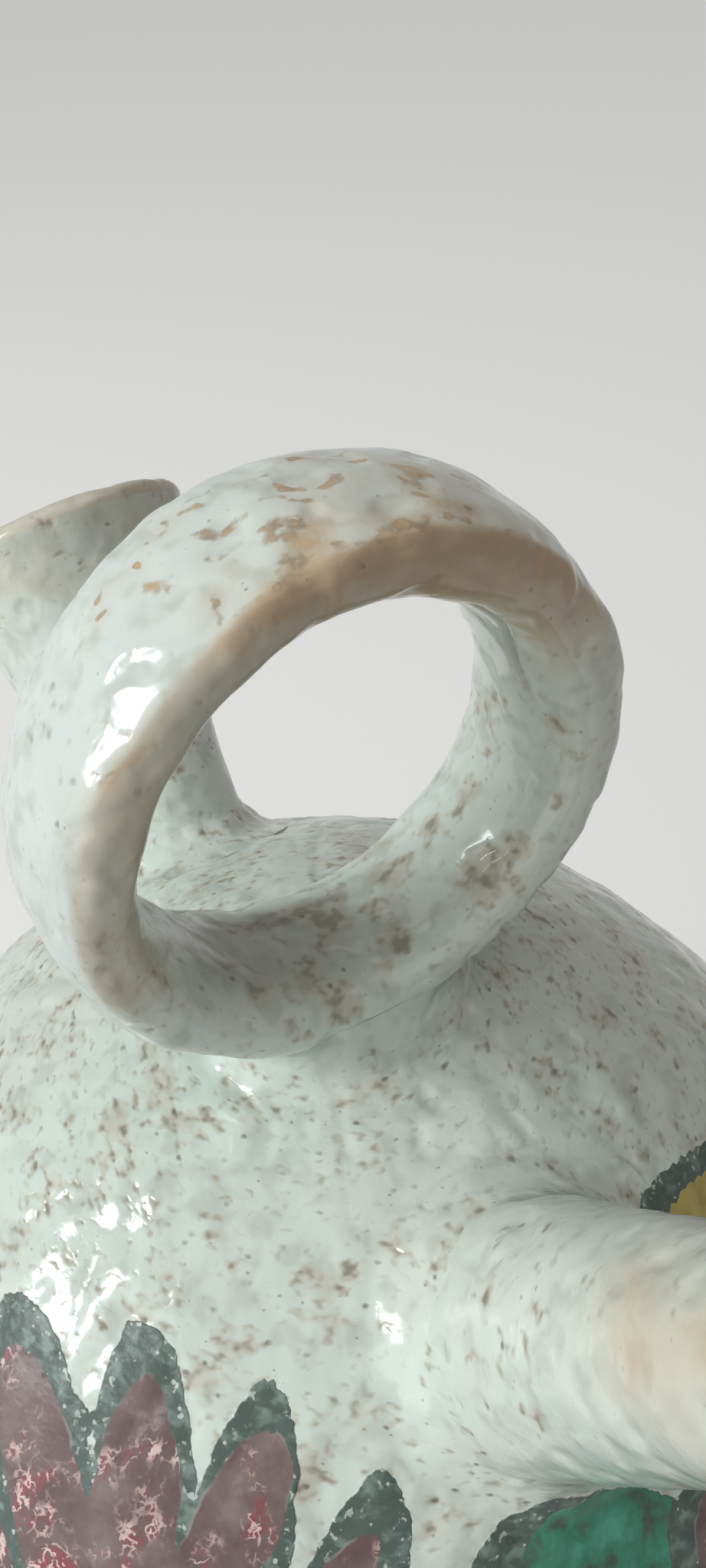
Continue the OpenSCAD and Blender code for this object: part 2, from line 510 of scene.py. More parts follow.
def boreCutter(name, axis, radius):
    # plain rod through the dome's wall
    depth = bodySettings["cutDepth"]
    low, high = domeR - depth, domeR + depth
    return closedRevolve(name, np.array([[0, low], [radius, low], [radius, high], [0, high]]),
                         bodySettings["cutSides"], axis)


def cutBores(piece, cutters):
    # each rod is taken out of the piece, and the rods are removed
    for cutter in cutters:
        cut = piece.modifiers.new("bore", "BOOLEAN")
        cut.object = cutter
        cut.solver = "EXACT"
    bpy.context.view_layer.update()
    evaluated = piece.evaluated_get(bpy.context.evaluated_depsgraph_get())
    mesh = bpy.data.meshes.new_from_object(evaluated)
    piece.modifiers.clear()
    piece.data = mesh
    for cutter in cutters:
        bpy.data.objects.remove(cutter)


def buildDome(spoutBoreR):
    # upper half of a ball with a bore under each tube, its outer face raised by the lumps
    s = bodySettings
    outer = arcPoints((0, 0), domeR, 90, 0, s["domeRows"])
    inner = arcPoints((0, 0), domeR - s["wall"], 0, 90, s["innerRows"])
    piece = closedRevolve("dome", np.concatenate([outer, inner]), s["columns"], upAxis)
    neckCut = boreCutter("neckCut", neckAxis, throatR)
    cutBores(piece, [neckCut, boreCutter("spoutCut", spoutAxis, spoutBoreR)])
    points = vertexVectors(piece, "co") / mm
    offset = points - bodyCentre
    outside = (np.linalg.norm(offset, axis=1) > domeR - s["skin"]).astype(float)
    setPoints(piece, points + unitRows(offset) * (outside * glazeLumps(points))[:, None])
    paintPiece(piece, points)
    return piece


def buildBowl():
    # arc from the base up to the belly, carried round, its outer face raised by the lumps
    s = bodySettings
    flankX = domeR - s["flankR"]
    innerR = s["flankR"] - s["wall"]
    drop = bodyCentre[2]
    floorDrop = drop - s["baseT"]
    baseAngle = -math.degrees(math.asin((drop - s["baseBevel"]) / s["flankR"]))
    floorAngle = -math.degrees(math.asin(floorDrop / innerR))
    baseR = flankX + math.sqrt(s["flankR"] ** 2 - drop ** 2) - s["baseBevel"]
    floorR = flankX + math.sqrt(innerR ** 2 - floorDrop ** 2)
    base = linePoints((0, -drop), (baseR, -drop), s["baseRows"])
    flank = arcPoints((flankX, 0), s["flankR"], baseAngle, 0, s["flankRows"])
    inner = arcPoints((flankX, 0), innerR, 0, floorAngle, s["innerRows"])
    floor = linePoints((floorR, s["baseT"] - drop), (0, s["baseT"] - drop), s["floorRows"])[1:]
    piece = closedRevolve("bowl", np.concatenate([base, flank, inner, floor]), s["columns"], upAxis)
    points = vertexVectors(piece, "co") / mm
    offset = points - bodyCentre
    rho = np.hypot(offset[:, 0], offset[:, 1])
    fromFlank = np.stack([rho - flankX, offset[:, 2]], -1)
    outside = np.abs(np.linalg.norm(fromFlank, axis=1) - s["flankR"]) < s["skin"]
    outside = outside * smoothStep(-drop, -drop + s["footFade"], offset[:, 2])
    away = unitRows(fromFlank)
    level = offset[:, :2] / np.maximum(rho, tiny)[:, None] * away[:, :1]
    out = np.concatenate([level, away[:, 1:]], -1)
    setPoints(piece, points + out * (outside * glazeLumps(points))[:, None])
    edge = points[:, 2] + mottled(points, *s["bareEdge"])
    setLayers(piece, bare=1 - smoothStep(*s["bareRamp"], edge))
    paintPiece(piece, points)
    return piece


# tubes: what spout and neck have in common, and the luting coil round each
tubeSettings = {
    "lumps": 0.8,  # share of the body's lumps
    "lines": (0.035, 3.1, 21),  # turning lines: height, wavelength, seed
    "wobble": 0.06,
    "bed": 1.0,  # how far a tube runs under the face of the dome
}
coilSettings = {
    "rows": 44,
    "backRows": 8,
    "footDepth": 1.2,  # depths of the hidden corners under the faces of the dome and the tube
    "cornerDepth": 3.0,
    "cornerIn": 1.5,
    "topIn": 1.2,
    # shares of the way up the coil: where marks die away, and where it is shaded like dome and tube
    "calmRamp": (0.84, 0.98),
    "domeRamp": (0.1, 0.36),
    "tubeRamp": (0.64, 0.9),
}
sinkMm = 0.14  # how far the smoothed edges of coils and saddle lie under what they meet


def tubeLumps(points, axis, along):
    # the body's lumps, with turning lines round the axis
    s = tubeSettings
    lines = np.stack([np.zeros(len(points)), np.zeros(len(points)), along], -1)
    height, wavelength, seed = s["lines"]
    turned = height * gradientNoise(lines + s["wobble"] * wheelFlow(points, axis), wavelength, seed)
    return s["lumps"] * glazeLumps(points) + turned


def tubePiece(name, profile, axis, columns, shown, likeTube):
    # closed ring of a profile about a tube's axis; lumps are the tube's or the body's, row by row
    out = revolve(profileNormals(profile), columns, axis, 0.0)
    points = revolve(profile, columns, axis)
    along = np.repeat(profile[:, 1], columns)
    share = np.repeat(likeTube, columns)
    height = share * tubeLumps(points, axis, along) + (1 - share) * glazeLumps(points)
    moved = points + out * (height * np.repeat(shown, columns))[:, None]
    return addPiece(name, moved, [gridQuads(len(profile), columns, True)]), points


def besideTurn(points, axis, degrees, width):
    # bell curve of the turn about a tube's axis
    first, second = axisFrame(axis)
    offset = points - bodyCentre
    turned = np.degrees(np.arctan2(offset @ second, offset @ first)) - degrees
    return bell((turned + 180) % 360 - 180, 0, width)


def coilProfile(coreR, blendR, wallR):
    # hollow arc that meets the tube's wall and the dome just under their faces, closed by a hidden corner
    s = coilSettings
    centreR = coreR - sinkMm + blendR
    reach = domeR - sinkMm + blendR
    centre = np.array([centreR, math.sqrt(reach ** 2 - centreR ** 2)])
    tilt = math.degrees(math.atan2(centre[1], centre[0]))
    share = np.linspace(1, 0, s["rows"])
    hollow = arcPoints(centre, blendR, 180, 180 + tilt, s["rows"])
    hollow[:, 0] += (wallR(hollow[:, 1]) - coreR) * smoothStep(0, 1, share)
    foot = hollow[-1] * (domeR - s["footDepth"]) / np.linalg.norm(hollow[-1])
    corner = np.array([wallR(domeR) - s["cornerIn"], domeR - s["cornerDepth"]])
    top = np.array([wallR(centre[1]) - s["topIn"], centre[1]])
    rise = linePoints(corner, top, s["backRows"])[1:]
    back = np.concatenate([linePoints(foot, corner, s["backRows"]), rise])
    hidden = np.zeros(len(back))
    shown = np.concatenate([np.ones(s["rows"]), hidden])
    return np.concatenate([hollow, back]), shown, np.concatenate([share, hidden])


def buildCoil(name, axis, columns, taper, profile, shown, share):
    # coil with the body's paint and specks, which die away towards the tube
    s = coilSettings
    piece, points = tubePiece(name, profile, axis, columns, shown, share)
    share = np.repeat(share, columns)
    shown = np.repeat(shown, columns)
    setLayers(piece, calm=smoothStep(*s["calmRamp"], share))
    paintPiece(piece, points)
    offset = points - bodyCentre
    outwards = unitRows(offset - np.outer(offset @ axis, axis))

    def lumpsOfTube(moved):
        # the tube's lumps, with the distance along its axis taken from the points
        return tubeLumps(moved, axis, (moved - bodyCentre) @ axis)

    onDome = leant(points, unitRows(offset), glazeLumps)
    onTube = leant(points, unitRows(outwards + taper * axis), lumpsOfTube)
    nearDome = (1 - smoothStep(*s["domeRamp"], share)) * shown
    nearTube = smoothStep(*s["tubeRamp"], share) * shown
    shadeJoins(piece, [(nearDome, onDome), (nearTube, onTube)])
    return piece


# drinking spout
spoutSettings = {
    "rootR": 18.0,
    "tipR": 9.25,
    "length": 74.0,
    "wall": 5.0,
    "nozzleLength": 16.0,
    "nozzleInset": 1.0,  # the straight wall of the nozzle starts this far under the tip's rounding
    "blendR": 13.0,
    "columns": 260,
    "outerRows": 96,
    "tipRows": 18,
    "nozzleRows": 8,
    "innerRows": 16,
    "tipFrom": 4,  # degrees at which the rounding of the tip begins
    "tipLumps": 0.6,
    # along the spout: where a change begins, where it ends and its size
    "calm": (1.18, (12, 16, -1.0), (22, 44, 0.26)),
    "thinTip": (0.0, (66, 74, 0.2)),
    # thin glaze along one side, and painted shade along the underside: turn and width in degrees
    "thin": 0.6,
    "thinRamp": (29, 54),
    "thinSide": (143, 38),
    "thinLeast": 0.3,
    "thinNoise": (0.0, 0.9, 13, 38),
    "thinLimits": (0.05, 1.5),
    "undersideShade": 0.36,
    "undersideShadeRamp": (12, 54),
    "undersideShadeSide": (228, 34),
}
spoutTaper = (spoutSettings["rootR"] - spoutSettings["tipR"]) / spoutSettings["length"]


def spoutWall(distance):
    # outer radius of the spout at a distance from the body's centre
    s = spoutSettings
    return s["rootR"] - (s["rootR"] - s["tipR"]) * (distance - domeR) / s["length"]


def buildSpout():
    # cone with a rounded tip and a bore that narrows to the nozzle
    s = spoutSettings
    foot = domeR - tubeSettings["bed"]
    tipS = domeR + s["length"]
    roundR = (s["tipR"] - nozzleR) / 2
    roundS = tipS - roundR
    nozzleS = tipS - s["nozzleLength"]
    outer = linePoints((spoutWall(foot), foot), (spoutWall(roundS), roundS), s["outerRows"])
    tip = arcPoints((nozzleR + roundR, roundS), roundR, s["tipFrom"], 180, s["tipRows"])
    nozzle = linePoints((nozzleR, roundS - s["nozzleInset"]), (nozzleR, nozzleS), s["nozzleRows"])
    inside = linePoints((nozzleR, nozzleS), (s["rootR"] - s["wall"], foot), s["innerRows"])[1:]
    profile = np.concatenate([outer, tip, nozzle, inside])
    shown = np.repeat((1.0, s["tipLumps"], 0.0), (len(outer), len(tip), len(nozzle) + len(inside)))
    piece, points = tubePiece("spout", profile, spoutAxis, s["columns"], shown, np.ones(len(profile)))
    along = np.repeat(profile[:, 1], s["columns"]) - domeR
    held = s["thinLeast"] + (1 - s["thinLeast"]) * besideTurn(points, spoutAxis, *s["thinSide"])
    patchy = np.clip(held + mottled(points, *s["thinNoise"]), *s["thinLimits"])
    thin = s["thin"] * patchy * smoothStep(*s["thinRamp"], along) + stepped(along, *s["thinTip"])
    # painted shade along the underside of the spout
    undersideShade = s["undersideShade"] * besideTurn(points, spoutAxis, *s["undersideShadeSide"]) * smoothStep(*s["undersideShadeRamp"], along)
    calm = stepped(along, *s["calm"])
    setLayers(piece, flow=wheelFlow(points, spoutAxis), calm=calm, thin=thin, soot=undersideShade)
    return piece


def buildSpoutCoil():
    # coil round the foot of the spout
    s = spoutSettings
    profile = coilProfile(s["rootR"], s["blendR"], spoutWall)
    return buildCoil("spoutCoil", spoutAxis, s["columns"], spoutTaper, *profile)


# filling neck
neckSettings = {
    "wall": 5.0,
    "waist": 12.0,
    "length": 69.5,
    "rimR": 26.75,
    "blendR": 12.0,
    "columns": 280,
    "footRows": 14,
    "flareRows": 66,
    "rimRows": 18,
    "innerRows": 40,
    "throatRows": 10,
    "rimGap": 8,  # degrees left out at both ends of the rim's rounding
    "rimLumps": 0.7,
    "innerLumps": 0.6,
    "rimTilt": 1.6,  # the rim is this much higher on one side
    "tiltFrom": 34,
    # along the neck: where a change begins, where it ends and its size
    "calm": (1.0, (11, 15, -1.0), (20, 34, 0.32)),
    "warm": (0.0, (10, 24, 0.95)),
    "warmFade": (1.0, (34, 62, -0.6)),
    "thin": (0.0, (12, 40, 0.09)),
    "thinTop": (0.0, (40, 64, 0.3)),
    "thinRim": 0.16,
    "thinNoise": (0.7, 2.4, 8, 39),
    "thinLimits": (0.0, 1.7),
}
waistR = throatR + neckSettings["wall"]


def buildNeck():
    # straight foot, then an arc that flares out to a rounded rim, with the same arc inside it
    s = neckSettings
    foot = domeR - tubeSettings["bed"]
    waistS = domeR + s["waist"]
    roundR = s["wall"] / 2
    rise = s["length"] - s["waist"] - roundR
    spread = s["rimR"] - waistR
    flareR = (rise ** 2 + spread ** 2) / (2 * spread)
    angle = math.degrees(math.asin(rise / flareR))
    lean = math.radians(angle)
    centre = (waistR + flareR, waistS)
    rimCentre = np.array(centre) + (flareR + roundR) * np.array([-math.cos(lean), math.sin(lean)])
    straight = linePoints((waistR, foot), (waistR, waistS), s["footRows"])[:-1]
    flare = arcPoints(centre, flareR, 180, 180 - angle, s["flareRows"])
    rim = arcPoints(rimCentre, roundR, s["rimGap"] - angle, 180 - s["rimGap"] - angle, s["rimRows"])
    inside = arcPoints(centre, flareR + s["wall"], 180 - angle, 180, s["innerRows"])
    throat = linePoints((throatR, waistS), (throatR, foot), s["throatRows"])[1:]
    profile = np.concatenate([straight, flare, rim, inside, throat])
    rows = (len(straight) + len(flare), len(rim), len(inside), len(throat))
    shown = np.repeat((1.0, s["rimLumps"], s["innerLumps"], 0.0), rows)
    piece, points = tubePiece("neck", profile, neckAxis, s["columns"], shown, np.ones(len(profile)))
    along = np.repeat(profile[:, 1], s["columns"]) - domeR
    lift = s["rimTilt"] * points[:, 0] / s["rimR"] * smoothStep(s["tiltFrom"], s["length"], along)
    setPoints(piece, vertexVectors(piece, "co") / mm + lift[:, None] * neckAxis)
    patchy = np.clip(mottled(points, *s["thinNoise"]), *s["thinLimits"])
    onRim = np.repeat(np.repeat((0.0, 1.0, 0.0, 0.0), rows), s["columns"])
    thin = patchy * stepped(along, *s["thin"]) + stepped(along, *s["thinTop"]) + s["thinRim"] * onRim
    warm = stepped(along, *s["warm"]) * stepped(along, *s["warmFade"])
    calm = stepped(along, *s["calm"])
    setLayers(piece, flow=wheelFlow(points, neckAxis), calm=calm, warm=warm, thin=thin)
    return piece


def buildNeckCoil():
    # coil round the foot of the neck, whose wall is straight there
    s = neckSettings
    profile = coilProfile(waistR, s["blendR"], lambda along: waistR + 0 * along)
    return buildCoil("neckCoil", neckAxis, s["columns"], 0.0, *profile)


# ring handle: an oval strap bent into a ring, with the seam where its ends overlap
# turns are degrees round the ring from +X upwards, sections degrees round the oval from its outer face
ringSettings = {
    "thickness": 12.5,
    "squareness": 2.3,
    "around": 440,
    "across": 200,
    # uneven strap: kind of wave, number of waves round the ring, height
    "radiusWaves": ((np.sin, 1, 0.3), (np.sin, 2, -0.2), (np.sin, 3, -0.27)),
    "thinner": 0.2,  # taken off half the thickness
    "thicknessWaves": ((np.sin, 1, 0.6), (np.cos, 2, 0.3), (np.sin, 2, 0.37)),
    "flatTurn": 128.0,  # the outer face is a little flat at this turn
    "flatWidth": 0.45,  # radians
    "flatDepth": 0.36,
    # crease where the outer face turns into the front one: section and width, height, noise along it
    "crease": (302.0, 9),
    "creaseHeight": 0.38,
    "creaseNoise": (0.75, 1.1, 17, 31),
    "creaseSoft": 0.75,
    "creaseSoftTurns": ((138, 158), (225, 250)),
    "frontHollow": (268, 16),
    "frontHollowDepth": 0.3,
    # seam on the inner face of the arm on +X: its path across the strap, groove and lip
    "innerFace": (0.1, 0.6),
    "seamTurns": ((2, 26), (56, 68)),
    "seamPath": (-6.6, (24, 70, -5.8), (4, 20, 1.8)),
    "seamGroove": (-0.2, 0.55),
    "seamDepth": 0.46,
    "lipHeight": 0.3,
    "lipRise": (0.0, 0.9),
    "lipFade": 3.0,
    "lumpHeight": 1.1,
    "lumpTurn": (20, 3.5),
    "lumpSide": (10.5, 2.2),
    # what fingers pressed, away from the foot: height, wavelength, seed
    "pressed": ((0.7, 19, 32), (0.32, 9, 33)),
    "pressedAbove": (-0.95, -0.6),
    # streaks where clay shows through: turn and section of both ends, half width, strength
    "streaks": [
        (89, 27, 80, 9, 0.42, 1.0), (85, 27, 80, 25, 0.3, 0.7), (76, 358, 74, 351, 0.7, 1.0),
        (78, 346, 75, 342, 0.42, 1.0), (78, 335, 77, 331, 0.42, 0.9), (90, 351, 88, 353, 0.6, 1.0),
        (66, 353, 62, 346, 0.42, 0.85), (75, 313, 73, 308, 0.5, 0.85), (71, 320, 71, 315, 0.36, 0.9),
        (96, 2, 93, 356, 0.53, 0.8), (98, 18, 96, 14, 0.36, 0.8), (106, 0, 98, 356, 0.32, 0.9),
        (97, 351, 93, 344, 0.32, 0.9), (110, 2, 104, 356, 0.47, 0.6), (102, 338, 99, 333, 0.85, 0.65),
        (104, 317, 99, 317, 0.95, 0.5), (116, 25, 113, 20, 0.38, 0.9), (109, 20, 106, 20, 0.3, 0.8),
        (121, 0, 119, 351, 0.6, 0.36), (110, 346, 108, 344, 0.47, 0.5), (115, 324, 115, 315, 0.42, 0.46),
        (120, 15, 120, 13, 0.32, 0.9), (129, 7, 128, 7, 0.32, 0.9), (133, 2, 132, 2, 0.32, 0.9),
        (126, 20, 125, 20, 0.32, 0.8), (86, 306, 80, 304, 0.83, 0.9), (67, 299, 55, 297, 0.47, 0.75),
        (55, 297, 43, 295, 0.47, 0.7), (66, 291, 52, 291, 0.53, 0.65), (62, 286, 51, 284, 0.47, 0.65),
        (47, 281, 41, 274, 0.47, 0.6), (150, 304, 139, 300, 0.36, 0.62), (113, 305, 106, 304, 0.4, 0.55),
        (106, 304, 95, 306, 0.53, 0.7), (95, 306, 79, 304, 0.53, 0.65),
    ],
    "raggedness": ((4.4, 2.2), (1.9, 1.0)),  # wavelength and reach of the noise that tears the streaks
    "raggedSeed": 50,
    "patchSpread": 1.75,
    "patchOnFront": 0.1,
    # thin glaze round the streaks, stronger on the crown's near side
    "haloSpread": 9.0,
    "haloNoise": (0.9, 1.3, 6, 37),
    "haloLeast": 0.5,
    "haloMore": 0.75,
    "haloSide": (-8, -36),
    "haloTurn": (104, 26),
    # thin glaze on the front face, under the crease, in the pocket over the saddle and on the arm on +X
    "frontSections": ((190, 240), (297, 311)),
    "frontTurns": ((15, 45), (190, 220)),
    "frontThin": 0.49,
    "frontMore": 0.22,
    "frontMoreTurn": (84, 38),
    "frontUneven": 0.2,
    "thinNoise": (0.0, 1.0, 13, 34),
    "underSection": (293, 12),
    "underTurns": ((28, 60), (118, 145)),
    "underThin": 0.34,
    "haloThin": 0.7,
    "pocketTurn": (245, 36),
    "pocketFace": (0.3, 0.9),
    "pocketThin": 0.2,
    "rightSections": (130, 220),
    "rightThin": 0.24,
    "patchThin": 0.3,
    "cornerSection": (314, 14),
    "cornerTurn": (158, 14),
    "cornerThin": 0.22,
    # marks: fewer at the foot and on the outer face, more at the bottom of the opening and in crusts
    "footBelow": (-0.97, -0.9),
    "footFace": (-0.2, 0.3),
    "footCalm": 0.9,
    "outerFace": (0.1, 0.7),
    "outerCalm": 0.24,
    "dirtyTurn": (282, 44),
    "dirtySection": (190, 50),
    "dirtyMarks": 0.16,
    "crustMarks": 1.05,
    # rough crusts of brown marks: turn, section, radius
    "crusts": [
        (328, 166, 2.4), (311, 158, 1.9), (293, 164, 2.7), (314, 218, 3.7), (272, 173, 3.2), (283, 178, 1.9),
        (237, 218, 1.6), (261, 227, 2.9), (283, 209, 1.5), (6, 223, 2.1), (276, 218, 1.0), (265, 155, 2.1),
        (230, 191, 1.1), (325, 223, 2.1), (248, 160, 1.5), (256, 158, 1.8), (240, 163, 1.2), (278, 160, 1.6),
    ],
    # tint of the handle's own white
    "warmNoise": (0.95, 0.5, 28, 36),
    "warmAbove": (-0.98, -0.8),
    "rightCool": 0.8,
    # painted shade in the bottom of the opening, along the seam, on the outer face and the front, and a
    # darker broken line
    "hollowSections": ((136, 156), (198, 230)),
    "openingShade": ((0.52, 222, 22), (0.36, 262, 24)),  # strength, turn, width
    "seamShade": 0.4,
    "seamShadeLine": (-0.2, 0.6),
    "brokenDarkLine": 0.6,
    "brokenNoise": (0.35, 1.6, 2.6, 52),
    "brokenSection": (158, 9),
    "brokenTurn": (258, 26),
    "outerShade": 0.15,
    "outerShadeTurn": (188, 34),
    "outerShadeFace": (-0.2, 0.5),
    "frontShade": 0.12,
    "frontShadeTurn": (92, 40),
}
ringMidR = ringOuterR - ringSettings["thickness"] / 2


def waved(start, waves, turn):
    # a start plus waves round the ring
    for wave, count, height in waves:
        start = start + height * wave(count * turn)
    return start


def signedPower(x, power):
    # power of the size, with the sign kept
    return np.sign(x) * np.abs(x) ** power


def strapMiddle(turn):
    # points of the ring's plain middle circle
    return np.stack([ringMidR * np.cos(turn), 0 * turn, ringZ + ringMidR * np.sin(turn)], -1)


def strapPoint(turn, section):
    # superellipse of uneven size round the middle of the strap, carried round the ring
    s = ringSettings
    flat = s["flatDepth"] * bell(turn, np.radians(s["flatTurn"]), s["flatWidth"])
    midR = waved(ringMidR, s["radiusWaves"], turn) - flat
    half = waved(s["thickness"] / 2 - s["thinner"], s["thicknessWaves"], turn) - flat
    power = 2 / s["squareness"]
    radial = midR + half * signedPower(np.cos(section), power)
    side = strapHalfWidth * signedPower(np.sin(section), power)
    return np.stack([radial * np.cos(turn), side, ringZ + radial * np.sin(turn)], -1)


# every vertex of the plain strap
ringTurn, ringSection = np.meshgrid(
    fullTurn(ringSettings["around"]), fullTurn(ringSettings["across"]), indexing="ij")
turnDegrees = np.degrees(ringTurn)
sectionDegrees = np.degrees(ringSection)
ringGrid = strapPoint(ringTurn, ringSection)
ringPoints = ringGrid.reshape(-1, 3)


def atTurn(name):
    # bell curve round the ring
    return bell(turnDegrees, *ringSettings[name])


def atSection(name):
    # bell curve round the section
    return bell(sectionDegrees, *ringSettings[name])


def ringNoise(name):
    # soft noise on the strap's grid
    return mottled(ringPoints, *ringSettings[name]).reshape(ringTurn.shape)


def surfaceNormals(grid):
    # cross product of the differences along a grid that closes both ways
    along = np.roll(grid, -1, 0) - np.roll(grid, 1, 0)
    across = np.roll(grid, -1, 1) - np.roll(grid, 1, 1)
    return unitRows(np.cross(across, along))


def clayStreaks(grid, spread):
    # highest of several soft streaks, each by the distance to the straight line between its two ends
    total = np.zeros(grid.shape[:2])
    for turn0, section0, turn1, section1, width, strength in ringSettings["streaks"]:
        ends = strapPoint(np.radians([turn0, turn1]), np.radians([section0, section1]))
        way = ends[1] - ends[0]
        t = np.clip((grid - ends[0]) @ way / (way @ way), 0, 1)
        gap = np.linalg.norm(grid - ends[0] - t[..., None] * way, axis=-1)
        total = np.maximum(total, strength * bell(gap, 0, width * spread))
    return total


def pushedAbout(points, pushes, seed):
    # points moved by noise, one reach in millimetres for each wavelength
    moved = points.copy()
    for wavelength, reach in pushes:
        moved += reach * np.stack([gradientNoise(points, wavelength, seed + k) for k in range(3)], -1)
    return moved


def crustSpots(grid):
    # highest of several soft round spots
    total = np.zeros(grid.shape[:2])
    for turn, section, radius in ringSettings["crusts"]:
        gap = np.linalg.norm(grid - strapPoint(np.radians(turn), np.radians(section)), axis=-1)
        total = np.maximum(total, bell(gap, 0, radius))
    return total


def ringSeam():
    # where the inner face is, how much of the seam shows there, and the distance across the strap past it
    s = ringSettings
    inner = smoothStep(*s["innerFace"], -np.cos(ringSection))
    window = plateau(turnDegrees, *s["seamTurns"]) * inner
    return inner, window, ringGrid[..., 1] - stepped(turnDegrees, *s["seamPath"])


def ringRelief():
    # height over the plain strap: pinched crease, front hollow, seam with its lip, a lump, finger marks
    s = ringSettings
    soft = 1 - s["creaseSoft"] * plateau(turnDegrees, *s["creaseSoftTurns"])
    height = s["creaseHeight"] * ringNoise("creaseNoise") * soft * atSection("crease")
    height = height - s["frontHollowDepth"] * atSection("frontHollow")
    inner, window, past = ringSeam()
    height = height - s["seamDepth"] * window * bell(past, *s["seamGroove"])
    lip = smoothStep(*s["lipRise"], past) * np.exp(-np.maximum(past, 0) / s["lipFade"])
    height = height + s["lipHeight"] * window * lip
    lump = atTurn("lumpTurn") * bell(ringGrid[..., 1], *s["lumpSide"]) * inner
    height = (height + s["lumpHeight"] * lump).reshape(-1)
    pressed = sum(size * gradientNoise(ringPoints, *noise) for size, *noise in s["pressed"])
    away = smoothStep(*s["pressedAbove"], np.sin(ringTurn)).reshape(-1)
    return height + glazeLumps(ringPoints) + away * pressed


def buildRing():
    # strap raised by its relief along its normals, with what the glazes read about it
    s = ringSettings
    normals = surfaceNormals(ringGrid)
    normals *= np.sign(dotRows(normals, ringGrid - strapMiddle(ringTurn)))
    raised = ringPoints + normals.reshape(-1, 3) * ringRelief()[:, None]
    piece = addPiece("ringHandle", raised, [gridQuads(s["around"], s["across"], True)])
    radial = np.hypot(ringPoints[:, 0], ringPoints[:, 2] - ringZ)
    squeezed = ringMidR / ringStretch + radial - ringMidR
    turn = ringTurn.reshape(-1)
    flow = np.stack([squeezed * np.cos(turn), ringPoints[:, 1], squeezed * np.sin(turn)], -1)
    facing = np.cos(ringSection)  # 1 on the outer face, -1 on the inner one
    rightArm = (0.5 + 0.5 * np.cos(ringTurn)) ** 2
    # glaze runs thin along the crease, over the front of the ring and round patches on its crown
    torn = pushedAbout(ringPoints, s["raggedness"], s["raggedSeed"]).reshape(ringGrid.shape)
    patch = clayStreaks(torn, s["patchSpread"])
    nearSide = smoothStep(*s["haloSide"], (sectionDegrees + 180) % 360 - 180)
    halo = clayStreaks(torn, s["haloSpread"]) * ringNoise("haloNoise")
    halo = halo * (s["haloLeast"] + s["haloMore"] * nearSide * atTurn("haloTurn"))
    front = plateau(sectionDegrees, *s["frontSections"]) * plateau(turnDegrees, *s["frontTurns"])
    uneven = ringNoise("thinNoise")
    frontThin = s["frontThin"] + s["frontMore"] * atTurn("frontMoreTurn") + s["frontUneven"] * uneven
    under = (1 + uneven) * atSection("underSection") * plateau(turnDegrees, *s["underTurns"])
    pocket = atTurn("pocketTurn") * smoothStep(*s["pocketFace"], -facing)
    right = rightArm * smoothStep(*s["rightSections"], sectionDegrees)
    thin = frontThin * front + s["underThin"] * under + s["haloThin"] * halo * (1 - front)
    thin = thin + s["pocketThin"] * pocket + s["rightThin"] * right + s["patchThin"] * patch * front
    thin = thin + s["cornerThin"] * atSection("cornerSection") * atTurn("cornerTurn")
    clay = patch * (1 - (1 - s["patchOnFront"]) * front)
    # marks die away towards the saddle and crowd together in crusts at the bottom of the opening
    foot = (1 - smoothStep(*s["footBelow"], np.sin(ringTurn))) * smoothStep(*s["footFace"], facing)
    calm = s["footCalm"] * foot + s["outerCalm"] * smoothStep(*s["outerFace"], facing)
    calm = calm - s["dirtyMarks"] * atTurn("dirtyTurn") * atSection("dirtySection")
    calm = calm - s["crustMarks"] * crustSpots(ringGrid)
    warm = ringNoise("warmNoise") * smoothStep(*s["warmAbove"], np.sin(ringTurn))
    warm = np.clip(warm * (1 - s["rightCool"] * rightArm), 0, 1)
    # painted shade in the hollow at the bottom of the opening, along the seam, low on the outer face of the
    # left arm and on the front, and a darker broken line along the far edge of the opening's bottom
    hollow = sum(strength * bell(turnDegrees, middle, width) for strength, middle, width in s["openingShade"])
    soot = plateau(sectionDegrees, *s["hollowSections"]) * hollow
    window, past = ringSeam()[1:]
    soot = soot + s["seamShade"] * window * bell(past, *s["seamShadeLine"])
    broken = np.clip(ringNoise("brokenNoise"), 0, 1) * atSection("brokenSection") * atTurn("brokenTurn")
    soot = soot + s["brokenDarkLine"] * broken
    soot = soot + s["outerShade"] * atTurn("outerShadeTurn") * smoothStep(*s["outerShadeFace"], facing)
    soot = soot + s["frontShade"] * front * atTurn("frontShadeTurn")
    setLayers(piece, flow=flow, thin=thin, clay=clay, calm=calm, warm=warm, soot=soot)
    return piece


# saddle: clay drawn up from the dome to the strap all round the foot of the ring
saddleSettings = {
    "footX": 27.0,
    "footY": 22.0,
    "headDegrees": 33.0,
    "footPull": 17.0,
    "headPull": 14.0,
    "around": 260,
    "rise": 56,
    "headSink": 1.6,  # in sinks of the coils' edges
    "tangentStep": 1e-4,
    "sectionLimit": np.pi / 2 - 0.02,
    "poleDepth": 6.0,
    "middleDepth": 4.0,
    # shares of the way up: where marks die away, and where it is shaded like dome and strap
    "calmRamp": (0.45, 0.8),
    "domeRamp": (0.12, 0.38),
    "strapRamp": (0.62, 0.88),
}


